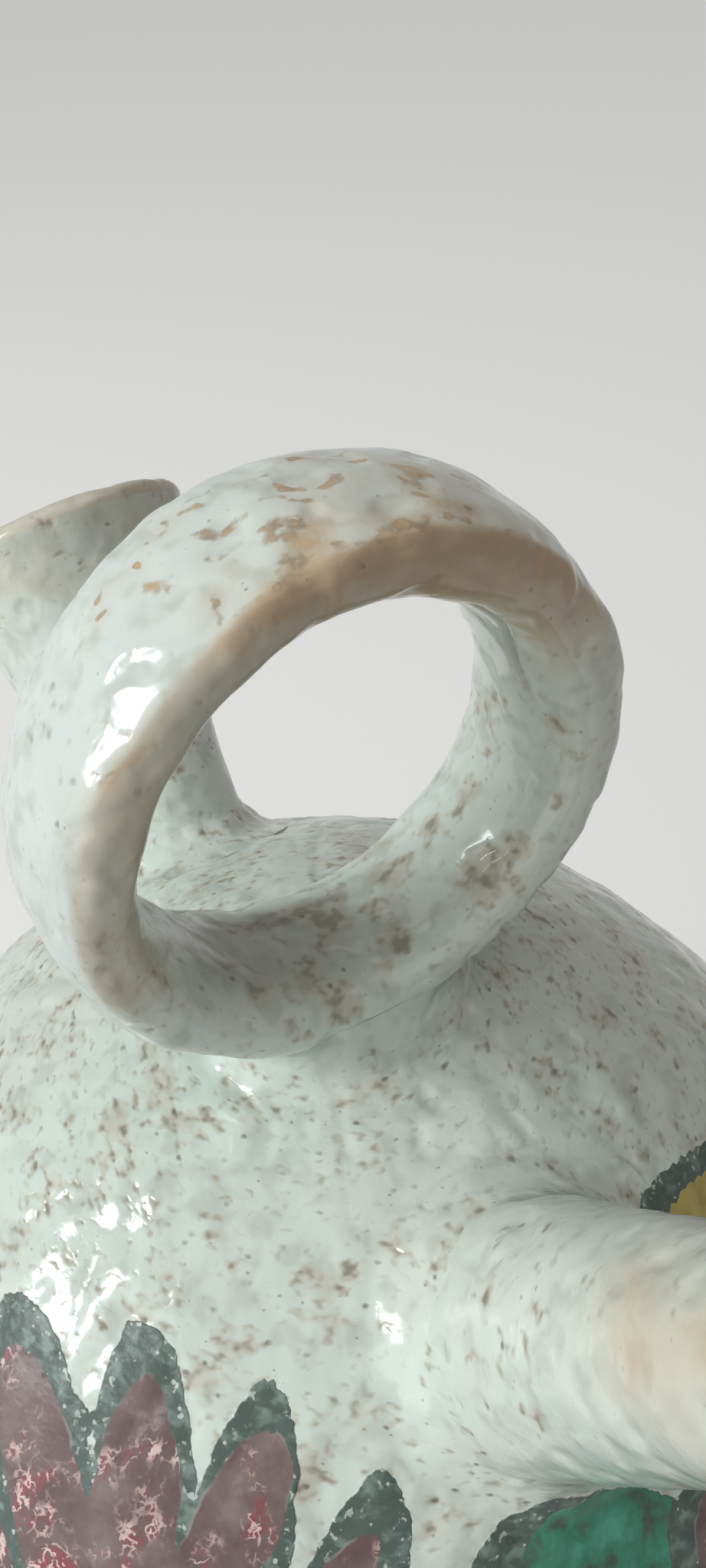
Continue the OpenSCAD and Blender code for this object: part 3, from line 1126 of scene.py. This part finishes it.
def buildSaddle():
    # cubic blend from an oval on the dome to a loop on the strap, level with both where it meets them
    s = saddleSettings
    a = fullTurn(s["around"])
    flat = np.stack([s["footX"] * np.cos(a), s["footY"] * np.sin(a)], -1)
    height = np.sqrt((domeR - sinkMm) ** 2 - dotRows(flat, flat)) + bodyCentre[2]
    foot = np.concatenate([flat, height], -1)
    up = unitRows(foot - bodyCentre)
    inward = -np.concatenate([unitRows(flat), np.zeros((s["around"], 1))], -1)
    footTangent = unitRows(inward - dotRows(inward, up) * up) * s["footPull"]
    turn = -np.pi / 2 + np.radians(s["headDegrees"]) * np.cos(a)
    section = np.pi / 2 * np.sin(a)
    middle = strapMiddle(turn)
    head = strapPoint(turn, section)
    head = head + unitRows(middle - head) * sinkMm * s["headSink"]
    step = s["tangentStep"]
    alongRing = unitRows(strapPoint(turn + step, section) - strapPoint(turn - step, section))
    inside = np.clip(section, -s["sectionLimit"], s["sectionLimit"])
    aroundStrap = unitRows(strapPoint(turn, inside + step) - strapPoint(turn, inside - step))
    headTangent = unitRows(np.cos(a)[:, None] * alongRing + np.sin(a)[:, None] * aroundStrap) * s["headPull"]
    t = np.linspace(0, 1, s["rise"])[:, None, None]
    blend = (2 * t**3 - 3 * t**2 + 1) * foot + (t**3 - 2 * t**2 + t) * footTangent
    blend = blend + (3 * t**2 - 2 * t**3) * head + (t**3 - t**2) * headTangent
    normals = unitRows(np.cross(np.roll(blend, -1, 1) - np.roll(blend, 1, 1), np.gradient(blend, axis=0)))
    normals *= np.sign(dotRows(normals, blend - np.array([0, 0, apexZ - s["middleDepth"]])).mean())
    points = blend.reshape(-1, 3)
    moved = points + normals.reshape(-1, 3) * glazeLumps(points)[:, None]
    poles = np.array([[0, 0, apexZ - s["poleDepth"]], [0, 0, ringZ - ringMidR]])
    piece = addPiece("saddle", np.concatenate([moved, poles]), cappedGrid(s["rise"], s["around"]))
    share = np.repeat(np.linspace(0, 1, s["rise"]), s["around"])
    calm = np.concatenate([smoothStep(*s["calmRamp"], share), [0, 1]])
    setLayers(piece, flow=bodyFlow(np.concatenate([points, poles])), calm=calm)
    onStrap = unitRows(np.cross(alongRing, aroundStrap))
    onStrap *= np.sign(dotRows(onStrap, head - middle))
    onStrap = leant(points, np.tile(onStrap, (s["rise"], 1)), glazeLumps)
    onDome = leant(points, unitRows(points - bodyCentre), glazeLumps)
    joins = ((1 - smoothStep(*s["domeRamp"], share), onDome), (smoothStep(*s["strapRamp"], share), onStrap))
    shadeJoins(piece, [(np.pad(weight, (0, 2)), np.pad(way, ((0, 2), (0, 0)))) for weight, way in joins])
    return piece


dome = buildDome(spoutSettings["rootR"] - spoutSettings["wall"])
bowl = buildBowl()
spout = buildSpout()
spoutCoil = buildSpoutCoil()
neck = buildNeck()
neckCoil = buildNeckCoil()
ringHandle = buildRing()
saddle = buildSaddle()


# shader helpers
def seen(red, green, blue):
    # a colour as screens show it, 0 to 255 a channel, turned into linear light by their usual curve
    c = np.array([red, green, blue]) / 255
    return (*np.where(c <= 0.04045, c / 12.92, ((c + 0.055) / 1.055) ** 2.4).tolist(), 1.0)


def addNode(tree, kind, sockets, **options):
    # one shader node, with its options set and its sockets linked or filled
    made = tree.nodes.new("ShaderNode" + kind)
    for key, value in options.items():
        setattr(made, key, value)
    for key, value in sockets.items():
        if isinstance(value, bpy.types.NodeSocket):
            tree.links.new(value, made.inputs[key])
        else:
            made.inputs[key].default_value = value
    return made


def maths(tree, operation, first, second=0.0, third=0.0):
    # one step of arithmetic on up to three numbers
    return addNode(tree, "Math", {0: first, 1: second, 2: third}, operation=operation).outputs[0]


def product(tree, *factors):
    # all factors multiplied together
    total = factors[0]
    for factor in factors[1:]:
        total = maths(tree, "MULTIPLY", total, factor)
    return total


def eased(tree, value, low, high, top=1.0):
    # eased ramp from 0 at low to top at high
    sockets = {"Value": value, "From Min": low, "From Max": high, "To Min": 0.0, "To Max": top}
    return addNode(tree, "MapRange", sockets, interpolation_type="SMOOTHSTEP").outputs[0]


def mixed(tree, factor, first, second):
    # from the first colour to the second by a factor; sockets 6 and 7 are the node's two colours
    return addNode(tree, "Mix", {0: factor, 6: first, 7: second}, data_type="RGBA").outputs[2]


def readLayer(tree, name, output="Fac"):
    # a layer of the piece
    return addNode(tree, "Attribute", {}, attribute_name=name).outputs[output]


def noiseNode(tree, vector, wavelength, seed, detail):
    # noise with the given wavelength in millimetres
    sockets = {"Vector": vector, "W": seed, "Scale": 1 / wavelength, "Detail": detail}
    return addNode(tree, "TexNoise", sockets, noise_dimensions="4D").outputs


def cloud(tree, vector, wavelength, seed, detail=2.0):
    # soft noise about 0.5
    return noiseNode(tree, vector, wavelength, seed, detail)[0]


def swing(tree, vector, *noise):
    # soft noise about 0
    return maths(tree, "SUBTRACT", cloud(tree, vector, *noise), 0.5)


def blotches(tree, vector, noise, ramp):
    # soft noise sharpened by a ramp
    return eased(tree, cloud(tree, vector, *noise), *ramp)


def warped(tree, vector, wavelength, reach, seed):
    # the same place pushed about by noise, by up to the reach in millimetres
    push = noiseNode(tree, vector, wavelength, seed, 2.0)[1]
    centred = addNode(tree, "VectorMath", {0: push, 1: (0.5, 0.5, 0.5)}, operation="SUBTRACT").outputs[0]
    scaled = addNode(tree, "VectorMath", {0: centred, "Scale": 2 * reach}, operation="SCALE").outputs[0]
    return addNode(tree, "VectorMath", {0: vector, 1: scaled}, operation="ADD").outputs[0]


smallestSpeck = 0.35  # as a share of the largest


def specks(tree, vector, cell, radius, soft, chance):
    # scattered dots: one point in each cell, kept by chance, each with its own size
    spots = addNode(tree, "TexVoronoi", {"Vector": vector, "Scale": 1 / cell})
    draws = addNode(tree, "SeparateColor", {0: spots.outputs["Color"]})
    kept = maths(tree, "LESS_THAN", draws.outputs[0], chance)
    spread = (1 - smallestSpeck) * radius
    size = maths(tree, "MULTIPLY_ADD", draws.outputs[1], spread, smallestSpeck * radius)
    inside = maths(tree, "MULTIPLY_ADD", spots.outputs["Distance"], -cell, size)
    return product(tree, eased(tree, inside, -soft, soft), kept)


def newMaterial(name):
    # material with its tree and its shader
    material = bpy.data.materials.new(name)
    material.use_nodes = True
    return material, material.node_tree, material.node_tree.nodes["Principled BSDF"]


# glazes: a noise is wavelength in millimetres, seed and detail; a warp is wavelength, reach and seed;
# a ramp is where it begins, where it ends and its height; a pair is a noise and its ramp
glazeSettings = {
    "white": seen(219, 230, 222),
    "warmWhite": seen(224, 225, 214),
    "handleWhite": seen(223, 230, 226),
    # grey of the mottling: partly thicker and thinner glaze, partly painted shade of small dips
    "hollow": seen(194, 201, 192),
    "haze": seen(204, 194, 174),
    "smudge": seen(170, 162, 146),
    "brown": seen(104, 96, 83),
    "speck": seen(86, 78, 66),
    "thinGlaze": seen(206, 192, 164),
    "thinClay": seen(188, 153, 116),
    "patchEdge": seen(140, 119, 94),
    "patchCore": seen(196, 166, 128),
    "bareClay": seen(190, 152, 118),
    # painted shade: darker colour that the pieces' shade layer mixes into the glaze
    "soot": seen(104, 99, 88),
    "gloss": 0.15,
    "speckRough": 0.28,
    "bareRough": 0.62,
    "drift": ((30, 1.0), (0.42, 0.7, 0.5)),
    "hollows": ((3.8, 9.0, 1.0), (0.5, 0.3, 0.6)),
    # marks: haze, then smudges, then brown, by how high grain and cluster stand together
    "grainWarp": (2.6, 0.5, 4.0),
    "grainSeed": (3.0, 1.0),
    "clusterSeed": (2.0, 1.0),
    "clusterShare": 0.45,
    "calming": -0.5,
    "hazeGrain": 0.6,
    "hazeRamp": (0.03, 0.28, 0.55),
    "smudgeRamp": (0.55, 0.78),
    "brownRamp": (0.66, 0.86),
    "markStrength": 0.62,
    # thin glaze: a soft veil, then ragged streaks, then patches of bare-looking clay
    "veilRamp": (0.0, 0.8, 0.85),
    "streaks": (4.2, 5.0, 4.0),
    "streakReach": 1.1,
    "streakRamp": (0.42, 1.05, 0.75),
    "streakFrom": (0.05, 0.3),
    "biteWarp": (2.4, 0.8, 10.0),
    "bites": (1.7, 7.0, 4.0),
    "biteReach": 2.6,
    "patchRamp": (0.14, 0.74, 0.86),
    "patchFrom": (0.08, 0.3),
    "patchCloud": (2.4, 26.0),
    "patchCloudReach": 1.6,
    "coreRamp": (0.2, 0.9),
    # specks: cell, largest radius, softness
    "quietRamp": (0.6, 0.2),
    "spotWarp": (1.3, 0.45, 6.0),
    "spots": (2.9, 0.48, 0.2),
    "spotRamp": (-0.1, 0.05),
    "fineWarp": (0.9, 0.3, 8.0),
    "fine": (1.9, 0.22, 0.1),
    "fineStrength": 0.7,
    "speckStrength": 0.7,
    # relief in millimetres
    "dimpleRamp": (0.5, 0.84),
    "dimpleHeight": -0.06,
    "peel": (2.8, 30.0, 1.0),
    "peelHeight": 0.14,
    "grit": ((1.2, 33.0, 3.0), (0.3, 0.7, 0.35)),
}
# how marked the glaze is, size of a mark, size of a cluster of marks, share of specks kept, depth of a mark
bodyMarks = {"more": 0.045, "grain": 1.7, "cluster": 7.0, "kept": 0.6, "depth": 0.95}
handleMarks = {"more": -0.03, "grain": 1.8, "cluster": 7.5, "kept": 0.32, "depth": 0.7}


def glazeColour(tree, flow, place, marks):
    # white glaze with broad warm drift; where soft noise peaks it turns beige, then brown; specks lie on top
    s = glazeSettings
    colour = mixed(tree, blotches(tree, place, *s["drift"]), s["white"], s["warmWhite"])
    colour = mixed(tree, readLayer(tree, "warm"), colour, s["handleWhite"])
    # grey mottling, partly glaze tone and partly painted shade of small dips in the surface
    colour = mixed(tree, blotches(tree, place, *s["hollows"]), colour, s["hollow"])
    calm = readLayer(tree, "calm")
    grain = cloud(tree, warped(tree, flow, *s["grainWarp"]), marks["grain"], *s["grainSeed"])
    crowd = cloud(tree, place, marks["cluster"], *s["clusterSeed"])
    cluster = maths(tree, "SUBTRACT", crowd, 0.5 - marks["more"])
    cluster = maths(tree, "MULTIPLY_ADD", calm, s["calming"], cluster)
    level = maths(tree, "MULTIPLY_ADD", cluster, s["clusterShare"], grain)
    hazy = maths(tree, "MULTIPLY_ADD", maths(tree, "SUBTRACT", grain, 0.5), s["hazeGrain"], cluster)
    strength = s["markStrength"] * marks["depth"]
    colour = mixed(tree, eased(tree, hazy, *s["hazeRamp"]), colour, s["haze"])
    colour = mixed(tree, eased(tree, level, *s["smudgeRamp"], strength), colour, s["smudge"])
    # thin glaze lets the clay through
    thin = readLayer(tree, "thin")
    colour = mixed(tree, eased(tree, thin, *s["veilRamp"]), colour, s["thinGlaze"])
    ragged = maths(tree, "MULTIPLY_ADD", swing(tree, flow, *s["streaks"]), s["streakReach"], thin)
    shown = product(tree, eased(tree, ragged, *s["streakRamp"]), eased(tree, thin, *s["streakFrom"]))
    colour = mixed(tree, shown, colour, s["thinClay"])
    clay = readLayer(tree, "clay")
    bites = swing(tree, warped(tree, flow, *s["biteWarp"]), *s["bites"])
    bitten = maths(tree, "MULTIPLY_ADD", bites, s["biteReach"], clay)
    patches = product(tree, eased(tree, bitten, *s["patchRamp"]), eased(tree, clay, *s["patchFrom"]))
    reach = s["patchCloudReach"]
    within = maths(tree, "MULTIPLY_ADD", cloud(tree, place, *s["patchCloud"]), reach, -reach / 2)
    core = eased(tree, maths(tree, "ADD", bitten, within), *s["coreRamp"])
    colour = mixed(tree, patches, colour, mixed(tree, core, s["patchEdge"], s["patchCore"]))
    colour = mixed(tree, eased(tree, level, *s["brownRamp"], strength), colour, s["brown"])
    quiet = eased(tree, calm, *s["quietRamp"])
    spots = specks(tree, warped(tree, flow, *s["spotWarp"]), *s["spots"], marks["kept"])
    spots = product(tree, spots, eased(tree, cluster, *s["spotRamp"]))
    fine = specks(tree, warped(tree, flow, *s["fineWarp"]), *s["fine"], marks["kept"])
    fine = maths(tree, "MULTIPLY", fine, s["fineStrength"])
    dots = product(tree, maths(tree, "MAXIMUM", spots, fine), quiet)
    colour = mixed(tree, maths(tree, "MULTIPLY", dots, s["speckStrength"]), colour, s["speck"])
    # painted shade: the pieces' shade layer darkens the glaze on the ring and under the spout
    colour = mixed(tree, readLayer(tree, "soot"), colour, s["soot"])
    # marks lie in dimples
    dimples = maths(tree, "MULTIPLY", eased(tree, level, *s["dimpleRamp"]), s["dimpleHeight"])
    return colour, dots, dimples


paintSettings = {
    "charcoal": seen(78, 93, 87),
    "brushGrey": seen(142, 162, 155),
    "fleck": seen(208, 215, 208),
    "rimLine": seen(160, 158, 152),
    "burgundy": seen(106, 82, 83),
    "burgundyPale": seen(134, 117, 114),
    "flakeRed": seen(152, 62, 74),
    "flakePink": seen(228, 198, 194),
    "teal": seen(64, 138, 114),
    "tealPale": seen(84, 168, 144),
    "tealDark": seen(74, 92, 80),
    "ochre": seen(202, 184, 108),
    "ochreDark": seen(170, 150, 86),
    "satin": 0.42,
    # ragged edges of the brush, in millimetres
    "waves": (6.0, 11.0, 1.0),
    "waveReach": 3.2,
    "nicks": (1.5, 12.0, 2.0),
    "nickReach": 1.3,
    "edgeRamp": (0.16, -0.16),
    "fillRagged": 0.55,
    "fillRamp": (0.12, -0.12),
    "lineRamp": (0.34, 0.06),
    "lineBreaks": ((5.0, 22.0), (0.5, 0.64, 0.55)),
    # charcoal: pale brush strokes, flecks (cell, largest radius, softness, share kept), and bare spots
    # near the edge
    "brushWarp": (3.0, 1.0, 13.0),
    "brush": ((2.2, 14.0, 4.0), (0.46, 0.7)),
    "brushStrength": 0.7,
    "fleckWarp": (0.6, 0.3, 15.0),
    "flecks": (1.5, 0.36, 0.07, 0.5),
    "nearEdge": (-3.6, -0.4),
    "bareWarp": (0.7, 0.3, 24.0),
    "bare": ((1.1, 23.0, 2.0), (0.6, 0.66)),
    "fleckStrength": 0.8,
    # colours, with flakes of an older coat towards the heart of a flower
    "tone": (7.0, 16.0, 4.0),
    "burgundyRamp": (0.4, 0.75),
    "ochreRamp": (0.42, 0.68),
    "wrinkles": ((3.4, 17.0, 3.0), (2.4, 21.0, 3.0)),
    "veinRamp": (0.034, 0.012),
    "wear": (7.0, 18.0, 3.0),
    "wearAtHeart": 0.6,
    "redRamp": (0.66, 0.84),
    "redSpots": ((1.6, 25.0, 3.0), (0.4, 0.6)),
    "redStrength": 0.9,
    "pinkRamp": (0.64, 0.8),
    "pinkSpots": ((1.5, 19.0), (0.42, 0.52)),
    "mottle": (5.0, 20.0, 3.0),
    "paleRamp": (0.48, 0.66),
    "darkRamp": (0.48, 0.34),
    # thickness of the coat and its relief, in millimetres
    "coatHeight": 0.12,
    "coat": (1.6, 31.0, 3.0),
    "coatRelief": 0.16,
}


def paintedColour(tree, flow, place, glaze):
    # flowers over the glaze: ragged dark outlines, then each colour's fill inside them
    s = paintSettings
    waves = swing(tree, place, *s["waves"])
    nicks = maths(tree, "MULTIPLY", swing(tree, place, *s["nicks"]), s["nickReach"])
    ragged = maths(tree, "MULTIPLY_ADD", waves, s["waveReach"], nicks)
    edge = maths(tree, "ADD", readLayer(tree, "outlinePaint"), ragged)
    outline = eased(tree, edge, *s["edgeRamp"])
    brush = blotches(tree, warped(tree, flow, *s["brushWarp"]), *s["brush"])
    charcoal = mixed(tree, maths(tree, "MULTIPLY", brush, s["brushStrength"]), s["charcoal"], s["brushGrey"])
    flecks = specks(tree, warped(tree, place, *s["fleckWarp"]), *s["flecks"])
    bare = blotches(tree, warped(tree, place, *s["bareWarp"]), *s["bare"])
    flecks = maths(tree, "MAXIMUM", flecks, product(tree, bare, eased(tree, edge, *s["nearEdge"])))
    charcoal = mixed(tree, maths(tree, "MULTIPLY", flecks, s["fleckStrength"]), charcoal, s["fleck"])
    colour = mixed(tree, outline, glaze, charcoal)
    # flakes of an older coat show through towards the heart of a flower
    tone = cloud(tree, flow, *s["tone"])
    wrinkles = [maths(tree, "ABSOLUTE", swing(tree, place, *noise)) for noise in s["wrinkles"]]
    vein = eased(tree, maths(tree, "MINIMUM", *wrinkles), *s["veinRamp"])
    heart = maths(tree, "MULTIPLY", readLayer(tree, "heartPaint"), s["wearAtHeart"])
    worn = maths(tree, "ADD", cloud(tree, place, *s["wear"]), heart)
    red = product(tree, eased(tree, worn, *s["redRamp"]), blotches(tree, place, *s["redSpots"]))
    pink = product(tree, vein, eased(tree, worn, *s["pinkRamp"]), blotches(tree, place, *s["pinkSpots"]))
    burgundy = mixed(tree, eased(tree, tone, *s["burgundyRamp"]), s["burgundy"], s["burgundyPale"])
    burgundy = mixed(tree, maths(tree, "MULTIPLY", red, s["redStrength"]), burgundy, s["flakeRed"])
    burgundy = mixed(tree, pink, burgundy, s["flakePink"])
    ochre = mixed(tree, eased(tree, tone, *s["ochreRamp"]), s["ochre"], s["ochreDark"])
    mottle = cloud(tree, place, *s["mottle"])
    teal = mixed(tree, eased(tree, mottle, *s["paleRamp"]), s["teal"], s["tealPale"])
    teal = mixed(tree, eased(tree, mottle, *s["darkRamp"]), teal, s["tealDark"])
    # each fill has a thin pale line along its edge, broken here and there
    fillRagged = maths(tree, "MULTIPLY", ragged, s["fillRagged"])
    breaks = blotches(tree, place, *s["lineBreaks"])
    for name, tint in zip(paintColours, (burgundy, ochre, teal)):
        depth = maths(tree, "ADD", readLayer(tree, name + "Paint"), fillRagged)
        fill = eased(tree, depth, *s["fillRamp"])
        line = eased(tree, maths(tree, "ABSOLUTE", depth), *s["lineRamp"])
        colour = mixed(tree, product(tree, fill, outline), colour, tint)
        colour = mixed(tree, product(tree, line, outline, breaks), colour, s["rimLine"])
    return colour, outline


def glazeMaterial(name, painted, marks):
    # gloss, with rougher specks and paint, and a fine orange-peel relief
    s = glazeSettings
    paint = paintSettings
    material, tree, shader = newMaterial(name)
    flow = readLayer(tree, "flow", "Vector")
    objectPlace = addNode(tree, "TexCoord", {}).outputs["Object"]
    place = addNode(tree, "VectorMath", {0: objectPlace, "Scale": 1 / mm}, operation="SCALE").outputs[0]
    colour, dots, dimples = glazeColour(tree, flow, place, marks)
    gloss = maths(tree, "MULTIPLY_ADD", dots, s["speckRough"], s["gloss"])
    peel = maths(tree, "MULTIPLY", cloud(tree, place, *s["peel"]), s["peelHeight"])
    height = maths(tree, "ADD", dimples, peel)
    if painted:
        colour, outline = paintedColour(tree, flow, place, colour)
        gloss = maths(tree, "MULTIPLY_ADD", outline, paint["satin"] - s["gloss"], gloss)
        coat = maths(tree, "MULTIPLY", cloud(tree, flow, *paint["coat"]), paint["coatRelief"])
        height = maths(tree, "MULTIPLY_ADD", outline, maths(tree, "ADD", coat, paint["coatHeight"]), height)
    # the foot is wiped clean of glaze
    bare = readLayer(tree, "bare")
    clay = mixed(tree, blotches(tree, place, *s["grit"]), s["bareClay"], s["thinClay"])
    colour = mixed(tree, bare, colour, clay)
    gloss = maths(tree, "MULTIPLY_ADD", bare, s["bareRough"], gloss)
    relief = addNode(tree, "Bump", {"Strength": 1.0, "Distance": mm, "Height": height})
    tree.links.new(colour, shader.inputs["Base Color"])
    tree.links.new(gloss, shader.inputs["Roughness"])
    tree.links.new(relief.outputs[0], shader.inputs["Normal"])
    return material


paintedGlaze = glazeMaterial("paintedGlaze", True, bodyMarks)
speckledGlaze = glazeMaterial("speckledGlaze", False, bodyMarks)
handleGlaze = glazeMaterial("handleGlaze", False, handleMarks)
print("glazes mixed")

# which node each piece stands for, and its slot
standIns = [
    (dome, "body_dome", "speckled_glaze", paintedGlaze),
    (bowl, "body_bowl", "speckled_glaze", paintedGlaze),
    (spout, "drinking_spout", "speckled_glaze", speckledGlaze),
    (spoutCoil, "drinking_spout_coil", "speckled_glaze", paintedGlaze),
    (neck, "filling_neck", "speckled_glaze", speckledGlaze),
    (neckCoil, "filling_neck_coil", "speckled_glaze", paintedGlaze),
    (ringHandle, "handle_ring", "handle_glaze", handleGlaze),
    (saddle, "handle_saddle", "speckled_glaze", speckledGlaze),
]
for piece, node, slotName, material in standIns:
    smoothShade(piece)
    piece.data.materials.clear()
    piece.data.materials.append(material)
    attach(piece, "root")
    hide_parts(node)
print("pieces glazed")

# plain stage
stageSettings = {
    "floorReach": 9.0,  # metres
    "floorColour": (0.5, 0.5, 0.495, 1),
    "floorRough": 0.7,
    "glow": 0.9,
}


def shownRays(tree):
    # 1 for the rays that show a surface to the camera, straight, mirrored or through glass
    rays = addNode(tree, "LightPath", {}).outputs
    shown = maths(tree, "MAXIMUM", rays["Is Camera Ray"], rays["Is Glossy Ray"])
    return maths(tree, "MAXIMUM", shown, rays["Is Transmission Ray"])


def buildFloor():
    # large square that also shows a little light of its own to the camera and in reflections
    s = stageSettings
    r = s["floorReach"]
    mesh = bpy.data.meshes.new("floor")
    mesh.from_pydata([(-r, -r, 0), (r, -r, 0), (r, r, 0), (-r, r, 0)], [], [(0, 1, 2, 3)])
    floor = linked("floor", mesh)
    material, tree, shader = newMaterial("paleFloor")
    shader.inputs["Base Color"].default_value = s["floorColour"]
    shader.inputs["Roughness"].default_value = s["floorRough"]
    shader.inputs["Emission Color"].default_value = s["floorColour"]
    glow = maths(tree, "MULTIPLY", shownRays(tree), s["glow"])
    tree.links.new(glow, shader.inputs["Emission Strength"])
    mesh.materials.append(material)


def placed(name, data, right, up, back, place):
    # object whose own axes lie along three directions, at a place in metres
    matrix = np.eye(4)
    matrix[:3] = np.stack([right, up, back, place], -1)
    made = linked(name, data)
    made.matrix_world = Matrix(matrix.tolist())
    return made


# camera fitted to the ring, the dome and the two tubes in the photograph
cameraSettings = {
    "fromRing": (-57.6, -106.5, 102.2),
    "yaw": 30.0,
    "pitch": 40.62,
    "roll": 1.19,
    "focalPixels": 1540,
    "frameHeight": 2048,
    "sensor": 36.0,
    "nearest": 0.005,  # metres
}


def buildCamera():
    # yaw turns from +Y towards +X, pitch looks down, roll turns the picture
    s = cameraSettings
    yaw, pitch, roll = (math.radians(s[key]) for key in ("yaw", "pitch", "roll"))
    forward = np.array([math.sin(yaw) * math.cos(pitch), math.cos(yaw) * math.cos(pitch), -math.sin(pitch)])
    level = np.array([math.cos(yaw), -math.sin(yaw), 0])
    below = np.cross(forward, level)
    right = math.cos(roll) * level + math.sin(roll) * below
    down = -math.sin(roll) * level + math.cos(roll) * below
    place = (np.array([0, 0, ringZ]) + np.array(s["fromRing"])) * mm
    data = bpy.data.cameras.new("camera")
    data.sensor_width = s["sensor"]
    data.lens = s["focalPixels"] / s["frameHeight"] * s["sensor"]
    data.clip_start = s["nearest"]
    bpy.context.scene.camera = placed("camera", data, right, -down, -forward, place)


# soft studio light, strongest from the left: a key, and broad lamps at the left, in front and above
coolLight = (0.95, 1.0, 1.0)
warmLight = (1.0, 0.975, 0.94)
lightSettings = {
    "lamps": {
        "key": {"towards": (-0.82, 0.2, 0.52), "size": 0.34, "watts": 8.1, "colour": coolLight},
        "left": {"towards": (-0.95, -0.1, 0.2), "size": 1.4, "watts": 6.8, "colour": coolLight},
        "front": {"towards": (-0.3, -0.75, 0.6), "size": 1.4, "watts": 2.2, "colour": warmLight},
        "top": {"towards": (0.02, 0.02, 1), "size": 1.4, "watts": 4.6, "colour": warmLight},
    },
    "distance": 1.3,  # metres
    "world": 0.09,
    "worldShown": 0.5,
    "worldColour": (*warmLight, 1),
}


def buildLights():
    # square lamps turned towards the top of the dome, in an even world that is paler where it is seen
    target = np.array([0, 0, apexZ]) * mm
    for name, s in lightSettings["lamps"].items():
        towards = np.array(s["towards"]) / np.linalg.norm(s["towards"])
        sideways = np.cross(upAxis, towards)
        sideways /= np.linalg.norm(sideways)
        data = bpy.data.lights.new(name, "AREA")
        data.size = s["size"]
        data.energy = s["watts"]
        data.color = s["colour"]
        place = target + towards * lightSettings["distance"]
        placed(name, data, sideways, np.cross(towards, sideways), towards, place)
    world = bpy.data.worlds.new("studio")
    world.use_nodes = True
    tree = world.node_tree
    background = tree.nodes["Background"]
    background.inputs["Color"].default_value = lightSettings["worldColour"]
    extra = lightSettings["worldShown"] - lightSettings["world"]
    strength = maths(tree, "MULTIPLY_ADD", shownRays(tree), extra, lightSettings["world"])
    tree.links.new(strength, background.inputs["Strength"])
    bpy.context.scene.world = world


buildFloor()
buildCamera()
buildLights()
bpy.context.scene.view_settings.view_transform = "Standard"
print("stage, camera and lights placed")
